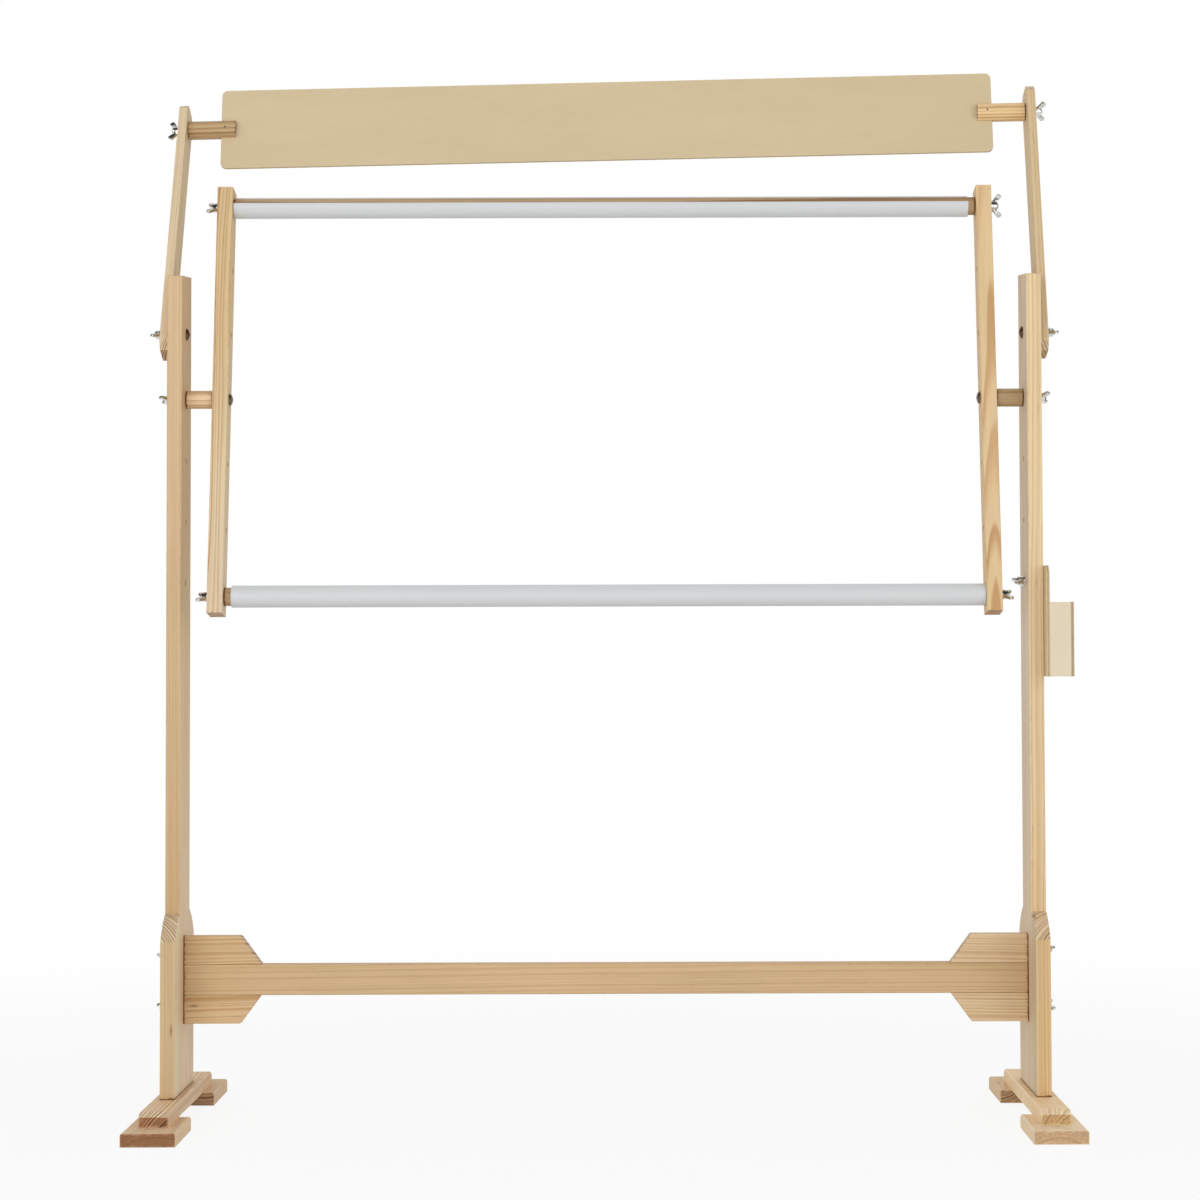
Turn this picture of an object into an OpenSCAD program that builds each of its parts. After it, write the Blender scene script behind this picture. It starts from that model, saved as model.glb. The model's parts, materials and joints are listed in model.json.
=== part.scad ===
// Floor stand for embroidery: a roller frame that tilts between two uprights, a pattern board on
// two arms above it, and a small tool box on the right upright.
// Millimetres. Z is up, X is to the viewer's right and Y is to the back. The origin is on the
// floor, midway between the two feet.

/* [Feet] */
// Length of a foot over its two pads, front to back
foot_len = 394; // [320:1:560]
// Width of a foot pad
pad_w = 60; // [44:1:90]
// Length of a foot pad, front to back
pad_len = 110; // [70:1:130]
// Thickness of a foot pad
pad_t = 15; // [10:1:30]
// Radius of the long top edges of a foot pad
pad_round = 3; // [1:0.5:6]
// Width of a foot rail
rail_w = 33; // [24:1:42]
// Thickness of a foot rail
rail_t = 16; // [12:1:30]
// Radius of the long top edges of a foot rail
rail_round = 2; // [0.5:0.5:4]
// How far the rail's ends stand back from the pads' ends
rail_setback = 38; // [20:1:48]
// Length of the bevel on each rail end
rail_bevel_len = 10; // [4:1:16]
// Depth of the bevel on each rail end
rail_bevel_h = 5; // [2:1:8]

/* [Uprights] */
// Width of an upright, front to back
upright_w = 70; // [60:1:100]
// Thickness of an upright
upright_t = 17; // [16:1:24]
// Width of the cheek glued to the front and to the back of each upright
cheek_w = 34; // [20:0.5:45]
// Height of the cheeks' shoulders above the floor
cheek_top = 237; // [230:1:300]
// Height of the rounded shoulder on a cheek
shoulder_h = 30; // [15:1:40]
// Radius of the rounded shoulder on a cheek
shoulder_r = 76; // [60:1:120]
// Height of the hole that the roller frame turns in
frame_pivot_z = 828; // [760:1:950]
// Distance between the holes in an upright
upright_pitch = 71; // [50:1:85]
// Number of holes in an upright from the frame's down
upright_holes = 4; // [4:1:5]
// Number of holes from the frame's down to the tool box's
box_holes_down = 3; // [1:1:3]
// Height of the arms' pivot above the frame's pivot
arm_pivot_rise = 76; // [50:1:110]
// Height of an upright's front above the arms' pivot
upright_over = 64.5; // [40:0.5:120]
// Rise of an upright's sloping top from front to back
top_rise = 6.5; // [1:0.5:15]

/* [Crossbar] */
// Height of the crossbar's middle line above the floor
crossbar_z = 158.5; // [120:0.5:170]
// Thickness of the crossbar, front to back
crossbar_t = 18; // [14:1:24]
// Height of the crossbar between its ears
crossbar_mid = 35; // [28:0.5:45]
// Height of each glued ear
ear_h = 32.5; // [26:0.5:40]
// Length of an ear's straight edge
ear_len = 65.5; // [50:0.5:100]
// Length of an ear's slope
ear_slope = 24; // [15:1:40]
// Distance between the two studs in each end of the crossbar
crossbar_stud_gap = 63; // [58:1:70]
// Length of a crossbar stud inside the wood
crossbar_stud_in = 34; // [25:1:45]

/* [Roller frame] */
// Width of the roller frame over its side bars
frame_w = 908; // [600:1:1300]
// Length of the spacer dowels between the side bars and the uprights
spacer_len = 31.7; // [20:0.1:60]
// How far the frame's top leans back from upright, in degrees
frame_lean = 9; // [0:0.5:30]
// Length of a side bar beyond its end holes
bar_over = 21; // [16:0.5:50]
// Width of a side bar
bar_w = 32; // [26:1:40]
// Thickness of a side bar
bar_t = 18; // [14:1:24]
// Distance between the holes in a side bar
bar_pitch = 77.5; // [50:0.5:90]
// Diameter of the spacer dowels between the side bars and the uprights
spacer_d = 21; // [16:1:26]
// Diameter of the rollers
roller_d = 21; // [18:0.5:26]
// Wall of a snap-on clip
clip_wall = 2; // [0.8:0.1:2.5]
// Clearance round a roller inside a snap-on clip
clip_clear = 0.3; // [0.05:0.05:0.3]
// Length of bare roller at one end of a snap-on clip
clip_bare = 8.4; // [2:0.1:60]
// Angle left open along a clip, in degrees
clip_mouth = 84; // [60:1:110]

/* [Pattern arms] */
// Width of an arm
arm_w = 42; // [34:1:50]
// Thickness of an arm
arm_t = 10; // [9:1:16]
// Distance from an arm's pivot to the board's dowel
arm_reach = 288; // [270:1:340]
// Length of an arm beyond the board's dowel
arm_over = 28; // [20:1:36]
// Length of an arm below its pivot
arm_under = 28; // [20:1:34]
// Size of the cut corners on an arm's ends
arm_corner = 9; // [3:1:12]
// How far the left arm leans back from upright, in degrees
left_lean = 25; // [10:0.5:30]
// How far the right arm leans back from upright, in degrees
right_lean = 17.5; // [10:0.5:30]

/* [Pattern board] */
// Overlap of the board with each dowel
board_overlap = 18; // [12:1:24]
// Height of the board
board_h = 100; // [70:1:130]
// Thickness of the board
board_t = 4; // [3:0.5:6]
// Radius of the board's corners
board_corner = 7; // [2:1:15]
// How far the board's top leans back from upright, in degrees
board_lean = 12; // [0:1:30]
// Diameter of the board's dowels
dowel_d = 22; // [16:1:24]
// Length of the board's dowels
dowel_len = 57; // [48:1:80]
// Size of the chamfers on the ends of the dowels and spacers
dowel_chamfer = 0.8; // [0.3:0.1:2]
// Diameter of the pin that holds the board in a dowel
pin_d = 2; // [1.5:0.5:4]
// Distance from the board's end to the pin
pin_inset = 6; // [5:1:8]
// Clearance on each side of the board in a dowel's slot
slot_clear = 0.15; // [0.1:0.05:0.5]
// Gap between the board's end and the bottom of the slot
slot_end_gap = 1; // [0.5:0.5:3]
// Gap between a board dowel and its arm, and between the arm and its wing nut
dowel_gap = 0.8; // [0.6:0.1:1.5]

/* [Tool box] */
// Height of the tool box
box_h = 85; // [60:1:110]
// Length of the tool box, front to back
box_len = 110; // [80:1:140]
// Depth of the tool box out from the upright, with its walls
box_out = 31.5; // [26:0.5:50]
// Thickness of the tool box's plywood
ply_t = 4; // [3:0.5:6]
// Height of the box's back panel
box_back_h = 127; // [120:1:160]
// Distance from the top of the back panel to its bolt
box_bolt_drop = 16.5; // [14:0.5:24]
// Size of the cut corners on the box's back panel
box_corner = 8; // [3:0.5:20]
// Distance from the box's bottom and top edges to its nails
nail_edge = 17; // [8:0.5:25]
// Diameter of the box's nails
nail_d = 1.4; // [1:0.1:2]
// Length of the box's nails
nail_len = 16; // [12:1:22]

/* [Fasteners] */
// Diameter of the studs and bolts
stud_d = 6; // [5:0.5:7]
// Clearance round a bolt in a hole that it turns in
turn_clear = 0.08; // [0.05:0.01:0.1]
// Diameter of the spare holes
spare_hole_d = 6.5; // [6:0.1:8]
// Gap between faces that slide past each other
face_gap = 0.3; // [0.2:0.05:0.5]
// Diameter of a pivot bolt's round head
head_d = 14; // [11:0.5:14]
// Height of a pivot bolt's round head
head_h = 4.2; // [3:0.1:4.5]
// Width across the flats of the hexagon socket in a bolt's head
socket_w = 4; // [3:0.5:5]
// Depth of the socket in a bolt's head
socket_depth = 2; // [1:0.1:2.5]
// Length of a hanger stud inside a dowel or roller
stud_in = 30; // [20:1:35]
// How far a stud shows beyond its wing nut
stud_show = 1.5; // [0.5:0.5:4]
// Span of a wing nut over its wings
nut_span = 28; // [24:1:34]
// Height of a wing nut's hub
nut_hub_h = 8; // [6:0.5:8]
// Diameter of a wing nut's hub at its base
nut_hub_d = 12; // [11:0.5:13]
// Thickness of a wing nut's wings
wing_t = 2.2; // [1.5:0.1:3]
// Radius of the round ends of a wing nut's wings
wing_r = 4; // [3:0.25:5]
// Diameter of the wood screws
screw_d = 4; // [3:0.5:5]
// Diameter of a wood screw's head
screw_head_d = 8; // [7:0.5:10]
// Height of a wood screw's head
screw_head_h = 3; // [2:0.5:4]
// How far a screw's head is sunk into the underside of a pad
screw_lift = 1.5; // [0.5:0.5:3]
// Depth of a pad's screws in the rail
screw_bite = 10; // [6:0.5:11]
// Depth of a rail's screws in the upright
post_bite = 30; // [20:1:40]
// Size of the eased long edges on the boards
ease = 0.8; // [0.4:0.1:1.5]

/* [Hidden] */
$fn = 48;

// How far a cut runs past the face that it opens
over = 1;

frame_x = frame_w / 2;
frame_inner_x = frame_x - bar_t;
inner_x = frame_x + spacer_len + face_gap;
half_w = inner_x + upright_t;
post_x = inner_x + upright_t / 2;
rail_top = pad_t + rail_t;
arm_pivot_z = frame_pivot_z + arm_pivot_rise;
upright_top = arm_pivot_z + upright_over;
turn_hole_d = stud_d + 2 * turn_clear;
foot_screw_ys = [
    for (f = [-1, 1], y = [-1, 1])
        if (abs(f * (foot_len / 2 - pad_len / 2) + y * pad_len / 4) < foot_len / 2 - rail_setback)
            f * (foot_len / 2 - pad_len / 2) + y * pad_len / 4
];
post_screw_ys = [-upright_w / 4, upright_w / 4];

// Holes in a side bar above its pivot, and as many below
bar_holes = 3;
roller_reach = bar_holes * bar_pitch;
bar_len = 2 * (roller_reach + bar_over);
roller_len = 2 * (frame_inner_x - face_gap);
clip_len = roller_len - clip_bare;
clip_inner_d = roller_d + 2 * clip_clear;

arm_in = half_w + face_gap;
arm_out = arm_in + arm_t;
left_end = [-arm_in, arm_reach * sin(left_lean), arm_pivot_z + arm_reach * cos(left_lean)];
right_end = [arm_in, arm_reach * sin(right_lean), arm_pivot_z + arm_reach * cos(right_lean)];
board_mid = (left_end + right_end) / 2;
board_span = norm(right_end - left_end) / 2;
board_yaw = atan2(right_end[1] - left_end[1], right_end[0] - left_end[0]);
board_rise = asin((right_end[2] - left_end[2]) / (2 * board_span));
dowel_start = board_span - dowel_gap;
dowel_tip = dowel_start - dowel_len;
board_half = dowel_tip + board_overlap;
board_nut_x = board_span + arm_t + dowel_gap;

box_bolt_z = frame_pivot_z - box_holes_down * upright_pitch;
box_in = half_w + face_gap;
box_top = box_bolt_z + box_bolt_drop;
box_bottom = box_top - box_back_h;
box_side_x = box_in + box_out - ply_t;
box_walls_out = box_out - 2 * ply_t;

pine = "burlywood";
pale_pine = "wheat";
red_pine = "tan";
steel = "silver";
plastic = "whitesmoke";

// A rectangle a by b with its corners cut by the ease
function eased(a, b) = [
    for (c = [[1, 1], [-1, 1], [-1, -1], [1, -1]], k = [0, 1])
        let (first = (c[0] * c[1] > 0) == (k == 0))
        [c[0] * (a / 2 - (first ? 0 : ease)), c[1] * (b / 2 - (first ? ease : 0))]
];

// Points on an arc of radius r from p to q that bulges to the right of the way from p to q
function bow(p, q, r, n = 8) =
    let (half = norm(q - p) / 2)
    let (way = (q - p) / (2 * half))
    let (centre = (p + q) / 2 + [-way[1], way[0]] * sqrt(r * r - half * half))
    let (a0 = atan2(p[1] - centre[1], p[0] - centre[0]))
    let (sweep = 2 * asin(half / r))
    [for (i = [0:n]) centre + r * [cos(a0 + sweep * i / n), sin(a0 + sweep * i / n)]];

// A board that stands along Z from 0, a thick along X and b wide along Y
module batten(len, a, b) {
    linear_extrude(height = len) polygon(eased(a, b));
}

// A board along Y from 0, a wide and b thick, with its long top edges rounded by r
module foot_board(len, a, b, r) {
    translate([0, len, 0]) rotate([90, 0, 0]) linear_extrude(height = len) {
        translate([-a / 2, 0]) square([a, b - r]);
        translate([r - a / 2, 0]) square([a - 2 * r, b]);
        for (s = [-1, 1]) translate([s * (a / 2 - r), b - r]) circle(r = r);
    }
}

// A rod along X from x0 to x1
module rod(x0, x1, d) {
    translate([x0, 0, 0]) rotate([0, 90, 0]) cylinder(d = d, h = x1 - x0);
}

// A dowel along X from x0 to x1 with a chamfer c on each end
module dowel(x0, x1, d, c) {
    len = x1 - x0;
    translate([x0, 0, 0]) rotate([0, 90, 0]) rotate_extrude()
        polygon([[0, 0], [d / 2 - c, 0], [d / 2, c], [d / 2, len - c], [d / 2 - c, len], [0, len]]);
}

// Draws on the right as it is, or mirrored to the left
module on_side(s) {
    mirror([s < 0 ? 1 : 0, 0, 0]) children();
}

// A domed bolt with its head's flat face at x = 0, its shank along +X and a hexagon socket
module bolt(len) {
    rim = head_h / 4;
    difference() {
        union() {
            rod(0, len, stud_d);
            rotate([0, -90, 0]) rotate_extrude()
                polygon([
                    [0, 0],
                    [head_d / 2, 0],
                    for (a = [0:15:90]) [head_d / 2 * cos(a), rim + (head_h - rim) * sin(a)]
                ]);
        }
        translate([-head_h - over, 0, 0]) rotate([0, 90, 0])
            cylinder(d = socket_w / cos(30), h = over + socket_depth, $fn = 6);
    }
}

// A wing nut whose base lies on x = 0 and whose wings point along +X, turned about X
module wing_nut(turn) {
    tip = nut_span / 2;
    rotate([turn, 0, 0]) difference() {
        union() {
            rotate([0, 90, 0]) cylinder(d1 = nut_hub_d, d2 = nut_hub_d * 0.78, h = nut_hub_h);
            for (s = [-1, 1])
                scale([1, s, 1]) translate([0, 0, -wing_t / 2]) linear_extrude(height = wing_t)
                    wing_outline(tip);
        }
        rod(-over, nut_hub_h + over, turn_hole_d);
    }
}

module wing_outline(tip) {
    polygon([
        [0.6, stud_d / 2 + 1],
        [0.6, nut_hub_d / 2 - 0.4],
        [nut_hub_h * 0.62, tip - 0.25],
        [nut_hub_h * 1.6, tip - wing_r * 1.7],
        [nut_hub_h * 0.8, stud_d / 2 + 1]
    ]);
    translate([nut_hub_h * 1.12, tip - wing_r]) circle(r = wing_r);
}

// The frame of reference of the tilted roller frame: its pivot line is X and the bars lie along Z
module in_frame() {
    translate([0, 0, frame_pivot_z]) rotate([-frame_lean, 0, 0]) children();
}

// The line through both board dowels: X runs along it from the middle
module on_board_line() {
    translate(board_mid) rotate([0, 0, board_yaw]) rotate([0, -board_rise, 0]) children();
}

module foot_pad(s, f) {
    on_side(s) color(red_pine)
        translate([post_x, f * (foot_len / 2 - pad_len / 2), 0])
            difference() {
                translate([0, -pad_len / 2, 0]) foot_board(pad_len, pad_w, pad_t, pad_round);
                for (y = [-1, 1]) translate([0, y * pad_len / 4, 0]) pad_screw_hole();
            }
}

module pad_screw_hole() {
    translate([0, 0, -over]) cylinder(d = screw_d, h = pad_t + 2 * over);
    translate([0, 0, -over]) cylinder(d = screw_head_d, h = over + screw_lift + screw_head_h);
}

module left_front_pad() { foot_pad(-1, -1); }
module left_rear_pad() { foot_pad(-1, 1); }
module right_front_pad() { foot_pad(1, -1); }
module right_rear_pad() { foot_pad(1, 1); }

module foot_rail(s) {
    half = foot_len / 2 - rail_setback;
    on_side(s) color(red_pine) translate([post_x, 0, pad_t])
        difference() {
            intersection() {
                translate([0, -half - over, 0])
                    foot_board(2 * half + 2 * over, rail_w, rail_t, rail_round);
                rotate([90, 0, 90]) translate([0, 0, -rail_w])
                    linear_extrude(height = 2 * rail_w)
                        polygon([
                            [-half, -over],
                            [half, -over],
                            [half, rail_t - rail_bevel_h],
                            [half - rail_bevel_len, rail_t],
                            [half - rail_bevel_len, rail_t + over],
                            [-half + rail_bevel_len, rail_t + over],
                            [-half + rail_bevel_len, rail_t],
                            [-half, rail_t - rail_bevel_h]
                        ]);
            }
            for (y = foot_screw_ys) translate([0, y, -over]) cylinder(d = screw_d, h = screw_bite + over);
            for (y = post_screw_ys) translate([0, y, -over]) {
                cylinder(d = screw_d, h = rail_t + 2 * over);
                cylinder(d = screw_head_d, h = over + screw_head_h);
            }
        }
}

module left_foot_rail() { foot_rail(-1); }
module right_foot_rail() { foot_rail(1); }

module wood_screw(len) {
    cylinder(d = screw_d, h = len);
    cylinder(d = screw_head_d, h = screw_head_h);
}

module foot_screws() {
    color(steel) for (s = [-1, 1]) on_side(s) translate([post_x, 0, 0]) {
        for (y = foot_screw_ys)
            translate([0, y, screw_lift]) wood_screw(pad_t - screw_lift + screw_bite);
        for (y = post_screw_ys)
            translate([0, y, pad_t]) wood_screw(rail_t + post_bite);
    }
}

module upright(s) {
    on_side(s) color(pine) difference() {
        translate([post_x, 0, rail_top])
            batten(upright_top + top_rise - rail_top, upright_t, upright_w);
        above_slope();
        for (k = [0:upright_holes - 1])
            translate([0, 0, frame_pivot_z - k * upright_pitch])
                rod(inner_x - over, half_w + over,
                    k == 0 || (k == box_holes_down && s > 0) ? turn_hole_d : spare_hole_d);
        translate([0, 0, arm_pivot_z]) rod(inner_x - over, half_w + over, turn_hole_d);
        for (z = [-1, 1])
            translate([0, 0, crossbar_z + z * crossbar_stud_gap / 2])
                rod(inner_x - over, half_w + over, turn_hole_d);
        for (y = post_screw_ys)
            translate([post_x, y, rail_top - over]) cylinder(d = screw_d, h = post_bite + over);
    }
}

// What is cut away above an upright's top, which rises to the back
module above_slope() {
    half = upright_w / 2 + over;
    rise = top_rise * half / upright_w;
    translate([inner_x - over, 0, upright_top + top_rise / 2]) rotate([90, 0, 90])
        linear_extrude(height = upright_t + 2 * over)
            polygon([[-half, -rise], [half, rise], [half, rise + over], [-half, rise + over]]);
}

module left_upright() { upright(-1); }
module right_upright() { upright(1); }

// A cheek in front of (f = -1) or behind (f = 1) an upright
module cheek(s, f) {
    on_side(s) scale([1, f, 1]) color(pale_pine) intersection() {
        translate([post_x, upright_w / 2 + cheek_w / 2, rail_top])
            batten(cheek_top - rail_top, upright_t, cheek_w);
        translate([post_x - upright_t, upright_w / 2, 0]) rotate([90, 0, 90])
            linear_extrude(height = 2 * upright_t)
                polygon(concat(
                    [[-over, rail_top - over], [cheek_w + over, rail_top - over]],
                    [[cheek_w + over, cheek_top - shoulder_h]],
                    bow([cheek_w, cheek_top - shoulder_h], [0, cheek_top], shoulder_r),
                    [[-over, cheek_top]]
                ));
    }
}

module left_front_cheek() { cheek(-1, -1); }
module left_rear_cheek() { cheek(-1, 1); }
module right_front_cheek() { cheek(1, -1); }
module right_rear_cheek() { cheek(1, 1); }

module crossbar() {
    color(pine) translate([-inner_x, 0, crossbar_z])
        rotate([0, 90, 0]) batten(2 * inner_x, crossbar_mid, crossbar_t);
}

// The two ears glued above and below the crossbar at one end
module ears(s) {
    on_side(s) color(pale_pine) for (m = [0, 1])
        translate([0, 0, crossbar_z]) mirror([0, 0, m]) difference() {
            translate([0, crossbar_t / 2, 0]) rotate([90, 0, 0]) linear_extrude(height = crossbar_t)
                polygon([
                    [inner_x, crossbar_mid / 2],
                    [inner_x, crossbar_mid / 2 + ear_h],
                    [inner_x - ear_len, crossbar_mid / 2 + ear_h],
                    [inner_x - ear_len - ear_slope, crossbar_mid / 2]
                ]);
            translate([0, 0, crossbar_stud_gap / 2])
                rod(inner_x - crossbar_stud_in, inner_x + over, stud_d);
        }
}

module left_ears() { ears(-1); }
module right_ears() { ears(1); }

module crossbar_studs() {
    color(steel) for (s = [-1, 1], z = [-1, 1])
        on_side(s) translate([0, 0, crossbar_z + z * crossbar_stud_gap / 2])
            rod(inner_x - crossbar_stud_in, half_w + face_gap + nut_hub_h + stud_show, stud_d);
}

module crossbar_nut(s, z, turn) {
    color(steel) on_side(s)
        translate([half_w + face_gap, 0, crossbar_z + z * crossbar_stud_gap / 2]) wing_nut(turn);
}

module left_upper_crossbar_nut() { crossbar_nut(-1, 1, 8); }
module left_lower_crossbar_nut() { crossbar_nut(-1, -1, -14); }
module right_upper_crossbar_nut() { crossbar_nut(1, 1, -10); }
module right_lower_crossbar_nut() { crossbar_nut(1, -1, 20); }

module side_bar(s) {
    on_side(s) in_frame() color(pine) difference() {
        translate([frame_x - bar_t / 2, 0, -bar_len / 2]) batten(bar_len, bar_t, bar_w);
        for (k = [-bar_holes:bar_holes])
            translate([0, 0, k * bar_pitch])
                rod(frame_inner_x - over, frame_x + over,
                    abs(k) == bar_holes || k == 0 ? turn_hole_d : spare_hole_d);
    }
}

module left_side_bar() { side_bar(-1); }
module right_side_bar() { side_bar(1); }

module spacer(s) {
    on_side(s) in_frame() color(pine) difference() {
        dowel(frame_x, inner_x - face_gap, spacer_d, dowel_chamfer);
        rod(frame_x - over, inner_x + over, turn_hole_d);
    }
}

module left_spacer() { spacer(-1); }
module right_spacer() { spacer(1); }

module frame_pivot_bolts() {
    color(steel) for (s = [-1, 1])
        on_side(s) in_frame() translate([frame_inner_x, 0, 0])
            bolt(half_w + face_gap + nut_hub_h + stud_show - frame_inner_x);
}

module frame_nut(s, turn) {
    color(steel) on_side(s) in_frame() translate([half_w + face_gap, 0, 0]) wing_nut(turn);
}

module left_frame_nut() { frame_nut(-1, 4); }
module right_frame_nut() { frame_nut(1, -6); }

// A roller: top is 1 or -1
module roller(top) {
    in_frame() color(pine) translate([0, 0, top * roller_reach]) difference() {
        rod(-roller_len / 2, roller_len / 2, roller_d);
        for (s = [-1, 1]) on_side(s) rod(roller_len / 2 - stud_in, roller_len / 2 + over, stud_d);
    }
}

module top_roller() { roller(1); }
module bottom_roller() { roller(-1); }

// A snap-on clip: pushed against the left (s = -1) or right side bar, with its mouth turned to
// an angle from straight back
module clip(top, s, mouth_turn) {
    outer_d = clip_inner_d + 2 * clip_wall;
    start = s < 0 ? -roller_len / 2 : roller_len / 2 - clip_len;
    in_frame() color(plastic) translate([start, 0, top * roller_reach])
        rotate([mouth_turn, 0, 0]) rotate([90, 0, 90]) rotate([0, 0, clip_mouth / 2])
            linear_extrude(height = clip_len) difference() {
                clip_sector(outer_d / 2);
                circle(d = clip_inner_d);
            }
}

// The part of a disc that is left when the mouth is cut away, from 0 degrees
module clip_sector(r) {
    intersection() {
        circle(r = r);
        polygon(concat(
            [[0, 0]],
            [for (i = [0:12]) 1.5 * r * [cos(i * (360 - clip_mouth) / 12), sin(i * (360 - clip_mouth) / 12)]]
        ));
    }
}

module top_clip() { clip(1, -1, 128); }
module bottom_clip() { clip(-1, 1, -50); }

module roller_studs(top) {
    in_frame() color(steel) translate([0, 0, top * roller_reach]) for (s = [-1, 1])
        on_side(s) rod(roller_len / 2 - stud_in, frame_x + face_gap + nut_hub_h + stud_show, stud_d);
}

module top_roller_studs() { roller_studs(1); }
module bottom_roller_studs() { roller_studs(-1); }

module roller_nut(top, s, turn) {
    color(steel) on_side(s) in_frame()
        translate([frame_x + face_gap, 0, top * roller_reach]) wing_nut(turn);
}

module top_left_roller_nut() { roller_nut(1, -1, 32); }
module top_right_roller_nut() { roller_nut(1, 1, -82); }
module bottom_left_roller_nut() { roller_nut(-1, -1, 22); }
module bottom_right_roller_nut() { roller_nut(-1, 1, 24); }

// An arm's outline in its own plane: Z runs up along the arm from the pivot
module arm(s, lean) {
    lower = -arm_under;
    upper = arm_reach + arm_over;
    side = arm_w / 2;
    color(pale_pine) difference() {
        on_side(s) translate([arm_in, 0, arm_pivot_z]) rotate([-lean, 0, 0]) difference() {
            rotate([90, 0, 90]) linear_extrude(height = arm_t)
                polygon([
                    [-side, lower + arm_corner],
                    [-side + arm_corner, lower],
                    [side - arm_corner, lower],
                    [side, lower + arm_corner],
                    [side, upper - arm_corner],
                    [side - arm_corner, upper],
                    [-side + arm_corner, upper],
                    [-side, upper - arm_corner]
                ]);
            rod(-over, arm_t + over, turn_hole_d);
        }
        on_board_line() on_side(s) rod(board_span - over, board_span + arm_t + 2 * over, turn_hole_d);
    }
}

module left_arm() { arm(-1, left_lean); }
module right_arm() { arm(1, right_lean); }

module arm_pivot_bolts() {
    color(steel) for (s = [-1, 1]) on_side(s) translate([inner_x, 0, arm_pivot_z])
        bolt(arm_out + face_gap + nut_hub_h + stud_show - inner_x);
}

module arm_nut(s, turn) {
    color(steel) on_side(s) translate([arm_out + face_gap, 0, arm_pivot_z]) wing_nut(turn);
}

module left_arm_nut() { arm_nut(-1, 5); }
module right_arm_nut() { arm_nut(1, 9); }

module pattern_board() {
    on_board_line() color("cornsilk") rotate([90 - board_lean, 0, 0])
        translate([0, 0, -board_t / 2]) difference() {
            linear_extrude(height = board_t) difference() {
                square([2 * board_half, board_h], center = true);
                for (x = [-1, 1], y = [-1, 1]) scale([x, y]) translate([board_half, board_h / 2])
                    difference() {
                        translate([-board_corner, -board_corner]) square(board_corner + over);
                        translate([-board_corner, -board_corner]) circle(r = board_corner);
                    }
            }
            for (s = [-1, 1]) translate([s * (board_half - pin_inset), 0, -over])
                cylinder(d = pin_d, h = board_t + 2 * over);
        }
}

module board_dowel(s) {
    slot_t = board_t + 2 * slot_clear;
    on_board_line() color(pine) difference() {
        on_side(s) dowel(dowel_tip, dowel_start, dowel_d, dowel_chamfer);
        on_side(s) rod(dowel_start - stud_in, dowel_start + over, stud_d);
        rotate([90 - board_lean, 0, 0]) {
            on_side(s) translate([dowel_tip - over, -dowel_d, -slot_t / 2])
                cube([board_overlap + slot_end_gap + over, 2 * dowel_d, slot_t]);
            translate([s * (board_half - pin_inset), 0, -dowel_d]) cylinder(d = pin_d, h = 2 * dowel_d);
        }
    }
}

module left_board_dowel() { board_dowel(-1); }
module right_board_dowel() { board_dowel(1); }

module board_pins() {
    pin_len = sqrt(dowel_d * dowel_d - pin_d * pin_d);
    on_board_line() color(steel) for (s = [-1, 1]) rotate([90 - board_lean, 0, 0])
        translate([s * (board_half - pin_inset), 0, -pin_len / 2]) cylinder(d = pin_d, h = pin_len);
}

module board_studs() {
    on_board_line() color(steel) for (s = [-1, 1])
        on_side(s) rod(dowel_start - stud_in, board_nut_x + nut_hub_h + stud_show, stud_d);
}

module board_nut(s, turn) {
    on_board_line() color(steel) on_side(s) translate([board_nut_x, 0, 0]) wing_nut(turn);
}

module left_board_nut() { board_nut(-1, 50); }
module right_board_nut() { board_nut(1, -34); }

// A plywood panel of the tool box, a by b by c with one corner at p
module panel(p, size) {
    color("cornsilk") translate(p) cube(size);
}

module box_back() {
    color("cornsilk") difference() {
        translate([box_in, 0, box_bottom]) rotate([90, 0, 90]) linear_extrude(height = ply_t)
            polygon([
                [-box_len / 2, 0],
                [box_len / 2, 0],
                [box_len / 2, box_back_h - box_corner],
                [box_len / 2 - box_corner, box_back_h],
                [-box_len / 2 + box_corner, box_back_h],
                [-box_len / 2, box_back_h - box_corner]
            ]);
        translate([0, 0, box_bolt_z]) rod(box_in - over, box_in + ply_t + over, turn_hole_d);
        box_nail_holes();
    }
}

module box_wall(f) {
    difference() {
        panel([box_in + ply_t, f < 0 ? -box_len / 2 : box_len / 2 - ply_t, box_bottom],
              [box_walls_out, ply_t, box_h]);
        box_nail_holes();
    }
}

module box_front_wall() { box_wall(-1); }
module box_rear_wall() { box_wall(1); }

module box_side() {
    difference() {
        panel([box_side_x, -box_len / 2, box_bottom], [ply_t, box_len, box_h]);
        box_nail_holes();
    }
}

module box_floor() {
    panel([box_in + ply_t, -box_len / 2 + ply_t, box_bottom], [box_walls_out, box_len - 2 * ply_t, ply_t]);
}

// Places the nails that hold the side panel: along X into the edges of both end walls
module at_nails() {
    for (y = [-1, 1], z = [nail_edge, box_h - nail_edge])
        translate([box_in + box_out, y * (box_len / 2 - ply_t / 2), box_bottom + z]) children();
}

module box_nail_holes() {
    at_nails() rod(-nail_len, over, nail_d);
}

module box_nails() {
    color(steel) at_nails() rod(-nail_len, 0, nail_d);
}

module box_bolt() {
    color(steel) translate([box_in + ply_t, 0, box_bolt_z]) mirror([1, 0, 0])
        bolt(box_in + ply_t - inner_x + face_gap + nut_hub_h + stud_show);
}

module box_nut() {
    color(steel) translate([inner_x - face_gap, 0, box_bolt_z]) mirror([1, 0, 0]) wing_nut(6);
}

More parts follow.
